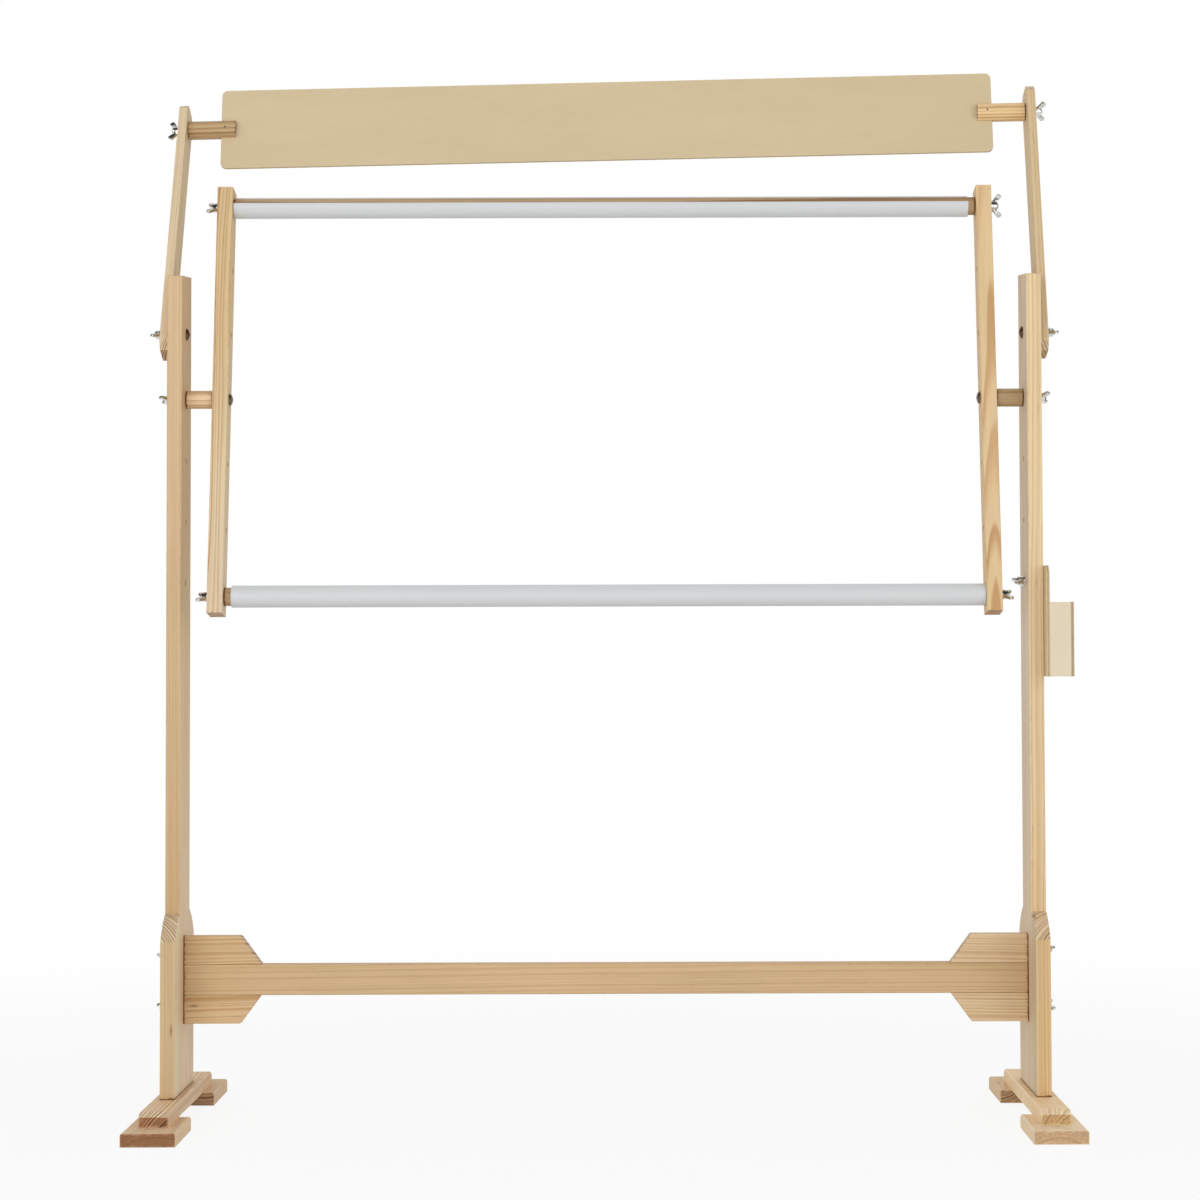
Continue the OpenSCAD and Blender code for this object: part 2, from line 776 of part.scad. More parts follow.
left_front_pad();
left_rear_pad();
right_front_pad();
right_rear_pad();
left_foot_rail();
right_foot_rail();
foot_screws();
left_upright();
right_upright();
left_front_cheek();
left_rear_cheek();
right_front_cheek();
right_rear_cheek();
crossbar();
left_ears();
right_ears();
crossbar_studs();
left_upper_crossbar_nut();
left_lower_crossbar_nut();
right_upper_crossbar_nut();
right_lower_crossbar_nut();
left_side_bar();
right_side_bar();
left_spacer();
right_spacer();
frame_pivot_bolts();
left_frame_nut();
right_frame_nut();
top_roller();
bottom_roller();
top_clip();
bottom_clip();
top_roller_studs();
bottom_roller_studs();
top_left_roller_nut();
top_right_roller_nut();
bottom_left_roller_nut();
bottom_right_roller_nut();
left_arm();
right_arm();
arm_pivot_bolts();
left_arm_nut();
right_arm_nut();
pattern_board();
left_board_dowel();
right_board_dowel();
board_pins();
board_studs();
left_board_nut();
right_board_nut();
box_back();
box_front_wall();
box_rear_wall();
box_side();
box_floor();
box_nails();
box_bolt();
box_nut();
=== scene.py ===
import json
import math

import bmesh
import bpy
from bpy.props import FloatProperty, FloatVectorProperty, PointerProperty
from mathutils import Matrix, Vector


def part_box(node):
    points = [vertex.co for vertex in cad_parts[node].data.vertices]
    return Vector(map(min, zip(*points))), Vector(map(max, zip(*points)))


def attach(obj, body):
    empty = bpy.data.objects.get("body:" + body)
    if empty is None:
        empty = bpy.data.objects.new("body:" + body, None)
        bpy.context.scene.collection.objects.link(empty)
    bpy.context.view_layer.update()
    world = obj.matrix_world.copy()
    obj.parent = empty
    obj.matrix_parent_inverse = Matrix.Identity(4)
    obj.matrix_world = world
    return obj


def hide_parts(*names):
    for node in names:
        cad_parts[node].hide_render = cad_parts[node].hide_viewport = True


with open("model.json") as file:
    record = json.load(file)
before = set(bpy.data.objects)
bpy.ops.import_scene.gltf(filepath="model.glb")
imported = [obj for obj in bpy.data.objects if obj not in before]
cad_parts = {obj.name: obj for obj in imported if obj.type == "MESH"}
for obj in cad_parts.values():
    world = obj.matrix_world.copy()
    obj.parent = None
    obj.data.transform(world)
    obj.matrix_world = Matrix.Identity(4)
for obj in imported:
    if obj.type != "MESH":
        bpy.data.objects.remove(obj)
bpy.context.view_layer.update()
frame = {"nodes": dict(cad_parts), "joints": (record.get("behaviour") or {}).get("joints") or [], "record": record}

bl_info = {
    "name": "Embroidery Floor Stand",
    "version": (1, 0, 0),
    "blender": (4, 5, 0),
    "location": "View3D > Sidebar > Floor Stand",
    "description": "Timber, plywood, clips and fittings of an embroidery floor stand",
    "category": "Object",
}

MM = 0.001

X = Vector((1, 0, 0))
Y = Vector((0, 1, 0))
UP = Vector((0, 0, 1))
FRONT = -Y

BODY_OF = {
    name: body
    for body, members in frame["record"]["behaviour"]["bodies"].items()
    for name in members
}
JOINT = {joint["name"]: joint for joint in frame["joints"]}


def joint_point(name):
    return Vector(JOINT[name]["pos_m"])


# The leaning directions come from the frame's own joints
BAR_UP = (joint_point("top_roller_turn") - joint_point("bottom_roller_turn")).normalized()
BAR_FRONT = X.cross(BAR_UP) * -1
BOARD_LINE = Vector(JOINT["board_tilt"]["axis"]).normalized()


def arm_direction(side):
    reach = joint_point(f"{side}_board_nut_turn") - joint_point("arms_tilt")
    reach.x = 0
    return reach.normalized()


def from_screen(red, green, blue):
    """A colour as a screen shows it, from 0 to 255, as the linear colour that a shader takes."""
    return tuple(
        (value / 255 / 12.92) if value <= 10 else (((value / 255 + 0.055) / 1.055) ** 2.4)
        for value in (red, green, blue)
    )


def colour_property(name, description, screen):
    return FloatVectorProperty(
        name=name,
        description=description,
        subtype="COLOR",
        size=3,
        min=0,
        max=1,
        default=from_screen(*screen),
    )


def length_property(name, description, millimetres, most=20):
    return FloatProperty(
        name=name,
        description=description,
        unit="LENGTH",
        min=0,
        max=most * MM,
        precision=4,
        default=millimetres * MM,
    )


class TimberSettings(bpy.types.PropertyGroup):
    ring_spacing: length_property("Ring Spacing", "Distance between the growth rings", 4.0)
    ring_wander: length_property("Ring Wander", "How far the rings wander along a board", 3.4)
    ring_strength: FloatProperty(
        name="Ring Strength",
        description="How dark the late wood of each ring is",
        subtype="FACTOR",
        min=0,
        max=1,
        default=0.8,
    )
    easing: length_property("Easing", "Radius of the eased edges", 0.5, 2)
    foot_easing: length_property("Foot Easing", "Radius of the eased edges on the feet", 1.3, 3)
    joint_easing: length_property("Joint Easing", "Radius of the edges that meet at a joint", 1.1, 3)
    end_rounding: length_property("End Rounding", "Radius of the rounded ends of the bars", 2.2, 4)
    # Painted shade: width of the dark line in the gap where two parts meet.
    joint_shade_width: length_property("Joint Shade Width", "Width of the dark line along a joint", 1.8)
    # Pale strip along the edges: partly wear, partly a painted highlight on the eased edges.
    wear_and_highlight_width: length_property("Wear And Highlight Width", "Width of the rubbed strip along the edges", 2.2)
    wear_and_highlight_amount: FloatProperty(
        name="Wear And Highlight Amount",
        description="How far the edges are rubbed pale",
        subtype="FACTOR",
        min=0,
        max=1,
        default=0.34,
    )
    grain_depth: FloatProperty(
        name="Grain Depth",
        description="Strength of the relief of rings and fibres",
        subtype="FACTOR",
        min=0,
        max=1,
        default=0.3,
    )
    pine: colour_property("Pine", "Early wood of the posts and bars", (226, 194, 153))
    pine_line: colour_property("Pine Lines", "Late wood of the posts and bars", (190, 138, 82))
    pale: colour_property("Pale Pine", "Early wood of the arms, ears and cheeks", (228, 203, 165))
    pale_line: colour_property("Pale Lines", "Late wood of the pale pine", (184, 134, 82))
    red: colour_property("Red Pine", "Early wood of the feet", (222, 188, 148))
    red_line: colour_property("Red Lines", "Late wood of the feet", (140, 98, 63))
    dowel: colour_property("Dowel", "Early wood of the dowels and rollers", (214, 180, 134))
    dowel_line: colour_property("Dowel Lines", "Late wood of the dowels", (150, 106, 63))
    # The joint colour is painted shade in the gaps where parts meet, and also the colour of the knots' eyes.
    joint: colour_property("Joint Line", "Glue and dirt along the joints", (118, 66, 26))
    veneer: colour_property("Veneer", "Face veneer of the board and box", (216, 194, 157))
    core: colour_property("Core", "Middle ply where it shows at an edge", (196, 170, 128))


class FittingSettings(bpy.types.PropertyGroup):
    wing_thickness: length_property("Wing Thickness", "Thickness of a wing nut's wings", 4.0)
    hub_height: length_property("Hub Height", "Height of a wing nut's hub", 8.0)
    hub_radius: length_property("Hub Radius", "Radius of a wing nut's hub at its base", 6.0)
    head_height: length_property("Head Height", "Height of a bolt's domed head", 4.2)
    thread_pitch: length_property("Thread Pitch", "Pitch of the threads", 1.0)
    thread_depth: length_property("Thread Depth", "Depth of the threads", 0.42)
    socket: length_property("Socket", "Width across the flats of a bolt's socket", 4.0)
    socket_depth: length_property("Socket Depth", "Depth of a bolt's socket", 2.0)
    zinc: colour_property("Zinc", "Plated nuts, bolts and studs", (224, 224, 222))
    zinc_roughness: FloatProperty(
        name="Zinc Roughness",
        description="How dull the plating is",
        subtype="FACTOR",
        min=0,
        max=1,
        default=0.16,
    )
    bronze: colour_property("Bronze", "Dark plated bolts", (118, 98, 78))
    nail: colour_property("Nail", "Steel nails and pins", (62, 47, 36))
    clip: colour_property("Clip", "Plastic of the snap-on clips", (215, 215, 217))
    clip_roughness: FloatProperty(
        name="Clip Roughness",
        description="How matt the clips are",
        subtype="FACTOR",
        min=0,
        max=1,
        default=0.42,
    )


class StudioSettings(bpy.types.PropertyGroup):
    camera_place: FloatVectorProperty(
        name="Camera Place",
        description="Where the camera stands",
        subtype="TRANSLATION",
        unit="LENGTH",
        size=3,
        default=(0.03534, -3.2971, 0.53405),
    )
    camera_turn: FloatVectorProperty(
        name="Camera Turn",
        description="The camera's pitch, roll and yaw",
        subtype="EULER",
        unit="ROTATION",
        size=3,
        default=(math.radians(92.25), math.radians(-0.17), math.radians(-0.1)),
    )
    lens: FloatProperty(
        name="Lens",
        description="Focal length on a 36 mm sensor",
        unit="CAMERA",
        min=10,
        max=300,
        default=85.349,
    )
    ambient: FloatProperty(
        name="Ambient",
        description="Light from all round",
        min=0,
        max=2,
        default=0.76,
    )
    dim_above: FloatProperty(
        name="Dim Above",
        description="Share of the ambient light that comes from straight above",
        subtype="FACTOR",
        min=0,
        max=1,
        default=0.85,
    )
    dark_sides: FloatProperty(
        name="Dark Sides",
        description="Brightness of the dark room in the fittings' reflections",
        subtype="FACTOR",
        min=0,
        max=1,
        default=0.03,
    )
    key_light: FloatProperty(
        name="Key Light",
        description="Strength of the soft light in front",
        unit="POWER",
        min=0,
        max=500,
        default=33,
    )
    fill_light: FloatProperty(
        name="Fill Light",
        description="Strength of the soft light at the side",
        unit="POWER",
        min=0,
        max=500,
        default=20,
    )
    shade: colour_property("Shade", "Tone of the light from all round", (251, 255, 255))
    floor: colour_property("Floor", "Paper floor", (232, 232, 230))
    floor_radius: FloatProperty(
        name="Floor Radius",
        description="How far the paper floor reaches",
        unit="LENGTH",
        min=1,
        max=40,
        default=14,
    )


class Wiring:
    """Adds shader nodes to one tree and joins them."""

    def __init__(self, tree):
        self.tree = tree

    def add(self, kind, inputs=None, **settings):
        made = self.tree.nodes.new("ShaderNode" + kind)
        for name, value in settings.items():
            setattr(made, name, value)
        for socket, value in (inputs or {}).items():
            if isinstance(value, bpy.types.NodeSocket):
                self.tree.links.new(value, made.inputs[socket])
            else:
                made.inputs[socket].default_value = value
        return made

    def maths(self, operation, first, second=None, third=None, clamp=False):
        values = {0: first}
        if second is not None:
            values[1] = second
        if third is not None:
            values[2] = third
        return self.add("Math", values, operation=operation, use_clamp=clamp).outputs[0]

    def vector(self, operation, first, second=None, output=0):
        values = {0: first}
        if second is not None:
            values[1] = second
        return self.add("VectorMath", values, operation=operation).outputs[output]

    def scaled(self, vector, factor):
        return self.add("VectorMath", {0: vector, "Scale": factor}, operation="SCALE").outputs[0]

    def ramp(self, value, low, high, low_out=0.0, high_out=1.0, smooth=True):
        return self.add(
            "MapRange",
            {"Value": value, "From Min": low, "From Max": high,
             "To Min": low_out, "To Max": high_out},
            interpolation_type="SMOOTHSTEP" if smooth else "LINEAR",
        ).outputs["Result"]

    def noise(self, vector, detail=2.0, roughness=0.5, output="Fac"):
        return self.add(
            "TexNoise",
            {"Vector": vector, "Scale": 1.0, "Detail": detail, "Roughness": roughness},
        ).outputs[output]

    def mix(self, factor, first, second, blend="MIX"):
        made = self.add("Mix", data_type="RGBA", blend_type=blend)
        for index, value in ((0, factor), (6, first), (7, second)):
            if isinstance(value, bpy.types.NodeSocket):
                self.tree.links.new(value, made.inputs[index])
            elif index == 0:
                made.inputs[0].default_value = value
            else:
                made.inputs[index].default_value = (*value[:3], 1.0)
        return made.outputs[2]


def shader_group(name, inputs, outputs):
    """An empty node group with these sockets; returns it with its wiring and its two end nodes."""
    tree = bpy.data.node_groups.new(name, "ShaderNodeTree")
    kinds = {"vector": "NodeSocketVector", "colour": "NodeSocketColor", "value": "NodeSocketFloat"}
    for socket, kind, *default in inputs:
        made = tree.interface.new_socket(socket, in_out="INPUT", socket_type=kinds[kind])
        if default:
            made.default_value = default[0]
    for socket, kind in outputs:
        tree.interface.new_socket(socket, in_out="OUTPUT", socket_type=kinds[kind])
    wiring = Wiring(tree)
    source = tree.nodes.new("NodeGroupInput")
    result = tree.nodes.new("NodeGroupOutput")
    return tree, wiring, source.outputs, result.inputs


def growth_rings_group():
    """Solid pine: rings round the pith, which is the Z axis, with fibres and streaks along it."""
    tree, w, given, out = shader_group(
        "Growth Rings",
        [
            ("Vector", "vector"),
            ("Spacing", "value", 0.003),
            ("Wander", "value", 0.003),
            ("Strength", "value", 0.6),
            ("Seed", "value", 0.0),
            ("Early Wood", "colour", (0.8, 0.6, 0.4, 1)),
            ("Late Wood", "colour", (0.5, 0.3, 0.15, 1)),
            ("Across", "value", 0.0),
            ("End Color", "colour", (0.8, 0.7, 0.6, 1)),
        ],
        [("Color", "colour"), ("Height", "value"), ("Roughness", "value")],
    )
    place = w.add("CombineXYZ", {0: given["Seed"], 1: given["Seed"], 2: given["Seed"]}).outputs[0]
    along = w.vector("ADD", given["Vector"], place)
    drift = w.noise(w.vector("MULTIPLY", along, (9, 9, 1.6)), 2.0, 0.55, "Color")
    drift = w.vector("SUBTRACT", drift, (0.5, 0.5, 0.5))
    drift = w.scaled(drift, w.maths("MULTIPLY", given["Wander"], 4.0))
    bent = w.vector("MULTIPLY", w.vector("ADD", given["Vector"], drift), (1, 1, 0))
    radius = w.vector("LENGTH", bent, output=1)
    years = w.maths("DIVIDE", radius, given["Spacing"])
    uneven = w.add(
        "TexNoise",
        {"W": w.maths("ADD", w.maths("MULTIPLY", years, 0.31), given["Seed"]),
         "Scale": 1.0, "Detail": 1.0},
        noise_dimensions="1D",
    ).outputs["Fac"]
    years = w.maths("ADD", years, w.maths("MULTIPLY", uneven, 2.6))
    ragged = w.noise(w.vector("MULTIPLY", along, (420, 420, 26)), 2.0, 0.6)
    years = w.maths("ADD", years, w.maths("MULTIPLY", ragged, 0.16))
    year = w.maths("FLOOR", years)
    season = w.maths("FRACT", years)
    luck = w.add(
        "TexWhiteNoise",
        {"W": w.maths("ADD", year, given["Seed"])},
        noise_dimensions="1D",
    ).outputs["Value"]
    rising = w.maths("POWER", w.ramp(season, 0.2, 0.84), 1.4)
    falling = w.ramp(season, 0.86, 1.0, 1.0, 0.0)
    late = w.maths("MULTIPLY", rising, falling)
    late = w.maths("MULTIPLY", late, w.ramp(luck, 0, 1, 0.4, 1.0, smooth=False))

    streak = w.noise(w.vector("MULTIPLY", along, (240, 240, 3.2)), 3.0, 0.6)
    fibre = w.noise(w.vector("MULTIPLY", along, (1500, 1500, 34)), 2.0, 0.65)
    patch = w.noise(w.vector("MULTIPLY", along, (26, 26, 4.5)), 2.0, 0.5)
    canal = w.noise(w.vector("MULTIPLY", along, (950, 950, 46)), 1.0, 0.5)
    canal = w.maths("MULTIPLY", w.ramp(canal, 0.68, 0.78), w.ramp(late, 0.1, 0.6))

    slant = w.ramp(given["Across"], 0.2, 0.62)
    end_grain = w.ramp(given["Across"], 0.82, 0.97)
    strength = w.maths("MULTIPLY_ADD", slant, 2.0, 1.0)
    strength = w.maths("MULTIPLY", given["Strength"], strength)
    depth = w.maths("MULTIPLY", late, strength, clamp=True)
    darker = w.mix(w.maths("MULTIPLY", slant, 0.45), given["Late Wood"], (0.17, 0.085, 0.04))
    paler = w.mix(w.maths("MULTIPLY", slant, 0.5), given["Early Wood"], (0.84, 0.69, 0.51))
    colour = w.mix(depth, paler, darker)
    tone = w.maths("ADD", w.maths("MULTIPLY", streak, 0.24), w.maths("MULTIPLY", fibre, 0.12))
    tone = w.maths("ADD", tone, w.maths("MULTIPLY", patch, 0.24))
    tone = w.maths("ADD", tone, 0.7)
    shade = w.add("CombineColor", {0: tone, 1: tone, 2: w.maths("POWER", tone, 1.35)}).outputs[0]
    colour = w.mix(1.0, colour, shade, "MULTIPLY")
    blush = w.ramp(w.noise(w.vector("MULTIPLY", along, (14, 14, 2.1)), 1.0), 0.42, 0.68)
    colour = w.mix(w.maths("MULTIPLY", blush, 0.22), colour, (0.72, 0.47, 0.29))
    colour = w.mix(w.maths("MULTIPLY", canal, 0.5), colour, (0.2, 0.1, 0.04))
    pores = w.noise(w.vector("MULTIPLY", along, (760, 760, 60)), 2.0, 0.7)
    pores = w.ramp(pores, 0.36, 0.66, 1.1, 0.8)
    pores = w.add("CombineColor", {0: pores, 1: pores, 2: pores}).outputs[0]
    dark_end = w.mix(1.0, w.mix(1.0, colour, given["End Color"], "MULTIPLY"), pores, "MULTIPLY")
    colour = w.mix(end_grain, colour, dark_end)

    height = w.maths("ADD", w.maths("MULTIPLY", late, 0.5), w.maths("MULTIPLY", fibre, 0.5))
    height = w.maths("SUBTRACT", height, w.maths("MULTIPLY", canal, 0.4))
    rough = w.maths("SUBTRACT", 0.62, w.maths("MULTIPLY", late, 0.14))
    rough = w.maths("ADD", rough, w.maths("MULTIPLY", w.maths("SUBTRACT", streak, 0.5), 0.16))
    rough = w.maths("ADD", rough, w.maths("MULTIPLY", end_grain, 0.14))
    for socket, value in (("Color", colour), ("Height", height), ("Roughness", rough)):
        tree.links.new(value, out[socket])
    return tree


def worn_highlit_edges_group():
    """Paints a paler strip along the edges of a board whose centre is the origin, in patches: partly wear, partly
    a painted highlight where the eased edges catch the light.
    """
    tree, w, given, out = shader_group(
        "Worn And Highlit Edges",
        [
            ("Vector", "vector"),
            ("Half Size", "vector"),
            ("Width", "value", 0.002),
            ("Color", "colour", (1, 1, 1, 1)),
            ("Worn And Highlit Color", "colour", (1, 1, 1, 1)),
            ("Amount", "value", 0.3),
            ("Roughness", "value", 0.5),
        ],
        [("Color", "colour"), ("Roughness", "value"), ("Mask", "value")],
    )
    inside = w.vector("SUBTRACT", given["Half Size"], w.vector("ABSOLUTE", given["Vector"]))
    parts = w.add("SeparateXYZ", {0: inside}).outputs
    least = w.maths("MINIMUM", parts[0], parts[1])
    most = w.maths("MAXIMUM", parts[0], parts[1])
    second = w.maths("MAXIMUM", least, w.maths("MINIMUM", most, parts[2]))
    patches = w.noise(w.scaled(given["Vector"], 95.0), 3.0, 0.6)
    reach = w.maths("MULTIPLY", given["Width"], w.ramp(patches, 0.3, 0.72, 0.35, 1.6))
    mask = w.maths("SUBTRACT", 1.0, w.maths("DIVIDE", second, reach), clamp=True)
    mask = w.maths("MULTIPLY", mask, w.ramp(patches, 0.25, 0.6, 0.45, 1.0))
    colour = w.mix(w.maths("MULTIPLY", mask, given["Amount"]), given["Color"], given["Worn And Highlit Color"])
    rough = w.maths("SUBTRACT", given["Roughness"], w.maths("MULTIPLY", mask, 0.16))
    for socket, value in (("Color", colour), ("Roughness", rough), ("Mask", mask)):
        tree.links.new(value, out[socket])
    return tree


def joint_shade_lines_group():
    """Paints shade in a ragged line along the ends of a board whose centre is the origin, where it meets the next
    part.
    """
    tree, w, given, out = shader_group(
        "Joint Shade Lines",
        [
            ("Vector", "vector"),
            ("Half Length", "value", 0.1),
            ("Width", "value", 0.0015),
            ("Near End", "value", 0.0),
            ("Far End", "value", 0.0),
            ("Color", "colour", (1, 1, 1, 1)),
            ("Gap Shade Color", "colour", (0.1, 0.05, 0.02, 1)),
        ],
        [("Color", "colour"), ("Mask", "value")],
    )
    along = w.add("SeparateXYZ", {0: given["Vector"]}).outputs[2]
    ragged = w.noise(w.scaled(given["Vector"], 210.0), 3.0, 0.6)
    reach = w.maths("MULTIPLY", given["Width"], w.ramp(ragged, 0.25, 0.75, 0.6, 1.5))
    inside = w.maths("SUBTRACT", given["Half Length"], w.maths("ABSOLUTE", along))
    share = w.maths("DIVIDE", inside, reach)
    # A dark painted shade line in the gap, with a faint painted shade spreading a little way from it.
    line = w.maths("ADD", w.ramp(share, 0.45, 1.15, 0.9, 0.0), w.ramp(share, 1.0, 4.0, 0.1, 0.0))
    far = w.maths("GREATER_THAN", along, 0.0)
    wanted = w.add("Mix", {0: far, 2: given["Near End"], 3: given["Far End"]}, data_type="FLOAT")
    mask = w.maths("MULTIPLY", line, wanted.outputs[0])
    tree.links.new(w.mix(mask, given["Color"], given["Gap Shade Color"]), out["Color"])
    tree.links.new(mask, out["Mask"])
    return tree


def knot_group():
    """A small knot round the Z axis: a dark eye with tight rings and a resin halo."""
    tree, w, given, out = shader_group(
        "Knot",
        [("Vector", "vector"), ("Radius", "value", 0.003), ("Color", "colour", (1, 1, 1, 1)),
         ("Eye Color", "colour", (0.1, 0.05, 0.02, 1)), ("Amount", "value", 0.8)],
        [("Color", "colour")],
    )
    ragged = w.vector("SUBTRACT", w.noise(w.scaled(given["Vector"], 260.0), 2.0, 0.6, "Color"),
                      (0.5, 0.5, 0.5))
    place = w.vector("ADD", given["Vector"], w.scaled(ragged, w.maths("MULTIPLY", given["Radius"], 0.9)))
    distance = w.vector("LENGTH", w.vector("MULTIPLY", place, (1, 1, 0)), output=1)
    share = w.maths("DIVIDE", distance, given["Radius"])
    eye = w.ramp(share, 0.55, 1.15, 1.0, 0.0)
    rings = w.maths("MULTIPLY_ADD", w.maths("SINE", w.maths("MULTIPLY", share, 17.0)), 0.2, 0.8)
    halo = w.ramp(share, 0.9, 2.4, 0.45, 0.0)
    mask = w.maths("MAXIMUM", w.maths("MULTIPLY", eye, rings), halo)
    colour = w.mix(w.maths("MULTIPLY", mask, given["Amount"]), given["Color"], given["Eye Color"])
    tree.links.new(colour, out["Color"])
    return tree


def veneer_group():
    """Plain plywood: a mottled pale face, and the crossed core where an edge shows it."""
    tree, w, given, out = shader_group(
        "Veneer",
        [
            ("Vector", "vector"),
            ("Thickness", "value", 0.004),
            ("Seed", "value", 0.0),
            ("Face", "colour", (0.7, 0.6, 0.4, 1)),
            ("Core", "colour", (0.5, 0.4, 0.25, 1)),
        ],
        [("Color", "colour"), ("Height", "value"), ("Roughness", "value")],
    )
    seed = w.add("CombineXYZ", {0: given["Seed"], 1: given["Seed"], 2: given["Seed"]}).outputs[0]
    along = w.vector("ADD", given["Vector"], seed)
    flecks = w.noise(w.vector("MULTIPLY", along, (700, 60, 30)), 2.0, 0.6)
    patch = w.noise(w.vector("MULTIPLY", along, (20, 8, 5)), 3.0, 0.6)
    tone = w.maths("ADD", w.maths("MULTIPLY", flecks, 0.08), w.maths("MULTIPLY", patch, 0.12))
    tone = w.maths("ADD", tone, 0.9)
    shade = w.add("CombineColor", {0: tone, 1: tone, 2: w.maths("POWER", tone, 1.3)}).outputs[0]
    colour = w.mix(1.0, given["Face"], shade, "MULTIPLY")
    vessel = w.noise(w.vector("MULTIPLY", along, (1900, 60, 24)), 1.0, 0.5)
    colour = w.mix(w.ramp(vessel, 0.62, 0.8, 0.0, 0.22), colour, (0.34, 0.24, 0.13))

    depth = w.maths("ABSOLUTE", w.add("SeparateXYZ", {0: given["Vector"]}).outputs[1])
    depth = w.maths("DIVIDE", depth, given["Thickness"])
    core = w.ramp(depth, 0.19, 0.24, 1.0, 0.0)
    glue = w.maths("MULTIPLY", w.ramp(depth, 0.17, 0.215), w.ramp(depth, 0.215, 0.26, 1.0, 0.0))
    stubble = w.noise(w.scaled(along, 900.0), 2.0, 0.7)
    crossed = w.mix(w.maths("MULTIPLY", stubble, 0.35), given["Core"], (0.2, 0.12, 0.06))
    colour = w.mix(core, colour, crossed)
    colour = w.mix(w.maths("MULTIPLY", glue, 0.5), colour, (0.16, 0.1, 0.06))
    height = w.maths("ADD", w.maths("MULTIPLY", flecks, 0.4), w.maths("MULTIPLY", core, stubble))
    rough = w.maths("ADD", w.maths("MULTIPLY", patch, 0.12), 0.5)
    for socket, value in (("Color", colour), ("Height", height), ("Roughness", rough)):
        tree.links.new(value, out[socket])
    return tree


def plating_group():
    """Plated steel: cloudy plating, fine scratches and small pits."""
    tree, w, given, out = shader_group(
        "Plating",
        [("Vector", "vector"), ("Color", "colour", (0.6, 0.6, 0.6, 1)), ("Roughness", "value", 0.2)],
        [("Color", "colour"), ("Roughness", "value"), ("Height", "value")],
    )
    cloud = w.noise(w.scaled(given["Vector"], 420.0), 3.0, 0.6)
    scratch = w.noise(w.vector("MULTIPLY", given["Vector"], (5200, 900, 2600)), 2.0, 0.6)
    scratch = w.ramp(scratch, 0.6, 0.75)
    pitted = w.noise(w.scaled(given["Vector"], 1900.0), 2.0, 0.6)
    dull = w.mix(1.0, given["Color"], (0.5, 0.48, 0.46), "MULTIPLY")
    colour = w.mix(w.ramp(cloud, 0.35, 0.7, 0.0, 0.6), given["Color"], dull)
    colour = w.mix(w.maths("MULTIPLY", scratch, 0.2), colour, (0.8, 0.8, 0.78))
    rough = w.maths("ADD", given["Roughness"], w.maths("MULTIPLY", cloud, 0.16))
    rough = w.maths("ADD", rough, w.maths("MULTIPLY", scratch, 0.12))
    height = w.maths("SUBTRACT", w.maths("MULTIPLY", pitted, 0.6), w.maths("MULTIPLY", scratch, 0.2))
    for socket, value in (("Color", colour), ("Roughness", rough), ("Height", height)):
        tree.links.new(value, out[socket])
    return tree


def extruded_plastic_group():
    """Extruded plastic: faint draw lines along X, cloudy tone and small scuffs."""
    tree, w, given, out = shader_group(
        "Extruded Plastic",
        [("Vector", "vector"), ("Color", "colour", (0.7, 0.7, 0.7, 1)), ("Roughness", "value", 0.4)],
        [("Color", "colour"), ("Roughness", "value"), ("Height", "value")],
    )
    draw = w.noise(w.vector("MULTIPLY", given["Vector"], (3, 1500, 1500)), 2.0, 0.6)
    cloud = w.noise(w.vector("MULTIPLY", given["Vector"], (9, 60, 60)), 3.0, 0.55)
    scuff = w.noise(w.vector("MULTIPLY", given["Vector"], (120, 900, 900)), 3.0, 0.7)
    scuff = w.ramp(scuff, 0.62, 0.74)
    tone = w.maths("ADD", w.maths("MULTIPLY", draw, 0.05), w.maths("MULTIPLY", cloud, 0.07))
    tone = w.maths("ADD", tone, 0.94)
    shade = w.add("CombineColor", {0: tone, 1: tone, 2: tone}).outputs[0]
    colour = w.mix(1.0, given["Color"], shade, "MULTIPLY")
    colour = w.mix(w.maths("MULTIPLY", scuff, 0.18), colour, (0.5, 0.49, 0.47))
    rough = w.maths("ADD", given["Roughness"], w.maths("MULTIPLY", cloud, 0.1))
    rough = w.maths("ADD", rough, w.maths("MULTIPLY", scuff, 0.2))
    height = w.maths("SUBTRACT", w.maths("MULTIPLY", draw, 0.7), w.maths("MULTIPLY", scuff, 0.3))
    for socket, value in (("Color", colour), ("Roughness", rough), ("Height", height)):
        tree.links.new(value, out[socket])
    return tree


GROUPS = {
    "Growth Rings": growth_rings_group,
    "Worn And Highlit Edges": worn_highlit_edges_group,
    "Joint Shade Lines": joint_shade_lines_group,
    "Knot": knot_group,
    "Veneer": veneer_group,
    "Plating": plating_group,
    "Extruded Plastic": extruded_plastic_group,
}


def use_group(wiring, name, inputs):
    """Puts a shared group into a material, building it the first time; returns its outputs."""
    tree = bpy.data.node_groups.get(name) or GROUPS[name]()
    made = wiring.tree.nodes.new("ShaderNodeGroup")
    made.node_tree = tree
    for socket, value in inputs.items():
        if isinstance(value, bpy.types.NodeSocket):
            wiring.tree.links.new(value, made.inputs[socket])
        elif made.inputs[socket].type == "RGBA":
            made.inputs[socket].default_value = (*value[:3], 1.0)
        else:
            made.inputs[socket].default_value = value
    return made.outputs


def blank_material(name):
    """A new material with a Principled BSDF; returns it, its wiring and the shader."""
    material = bpy.data.materials.new(name)
    material.use_nodes = True
    tree = material.node_tree
    return material, Wiring(tree), tree.nodes["Principled BSDF"]


def add_relief(wiring, shader, height, strength, distance):
    bump = wiring.add("Bump", {"Height": height, "Strength": strength, "Distance": distance})
    wiring.tree.links.new(bump.outputs["Normal"], shader.inputs["Normal"])


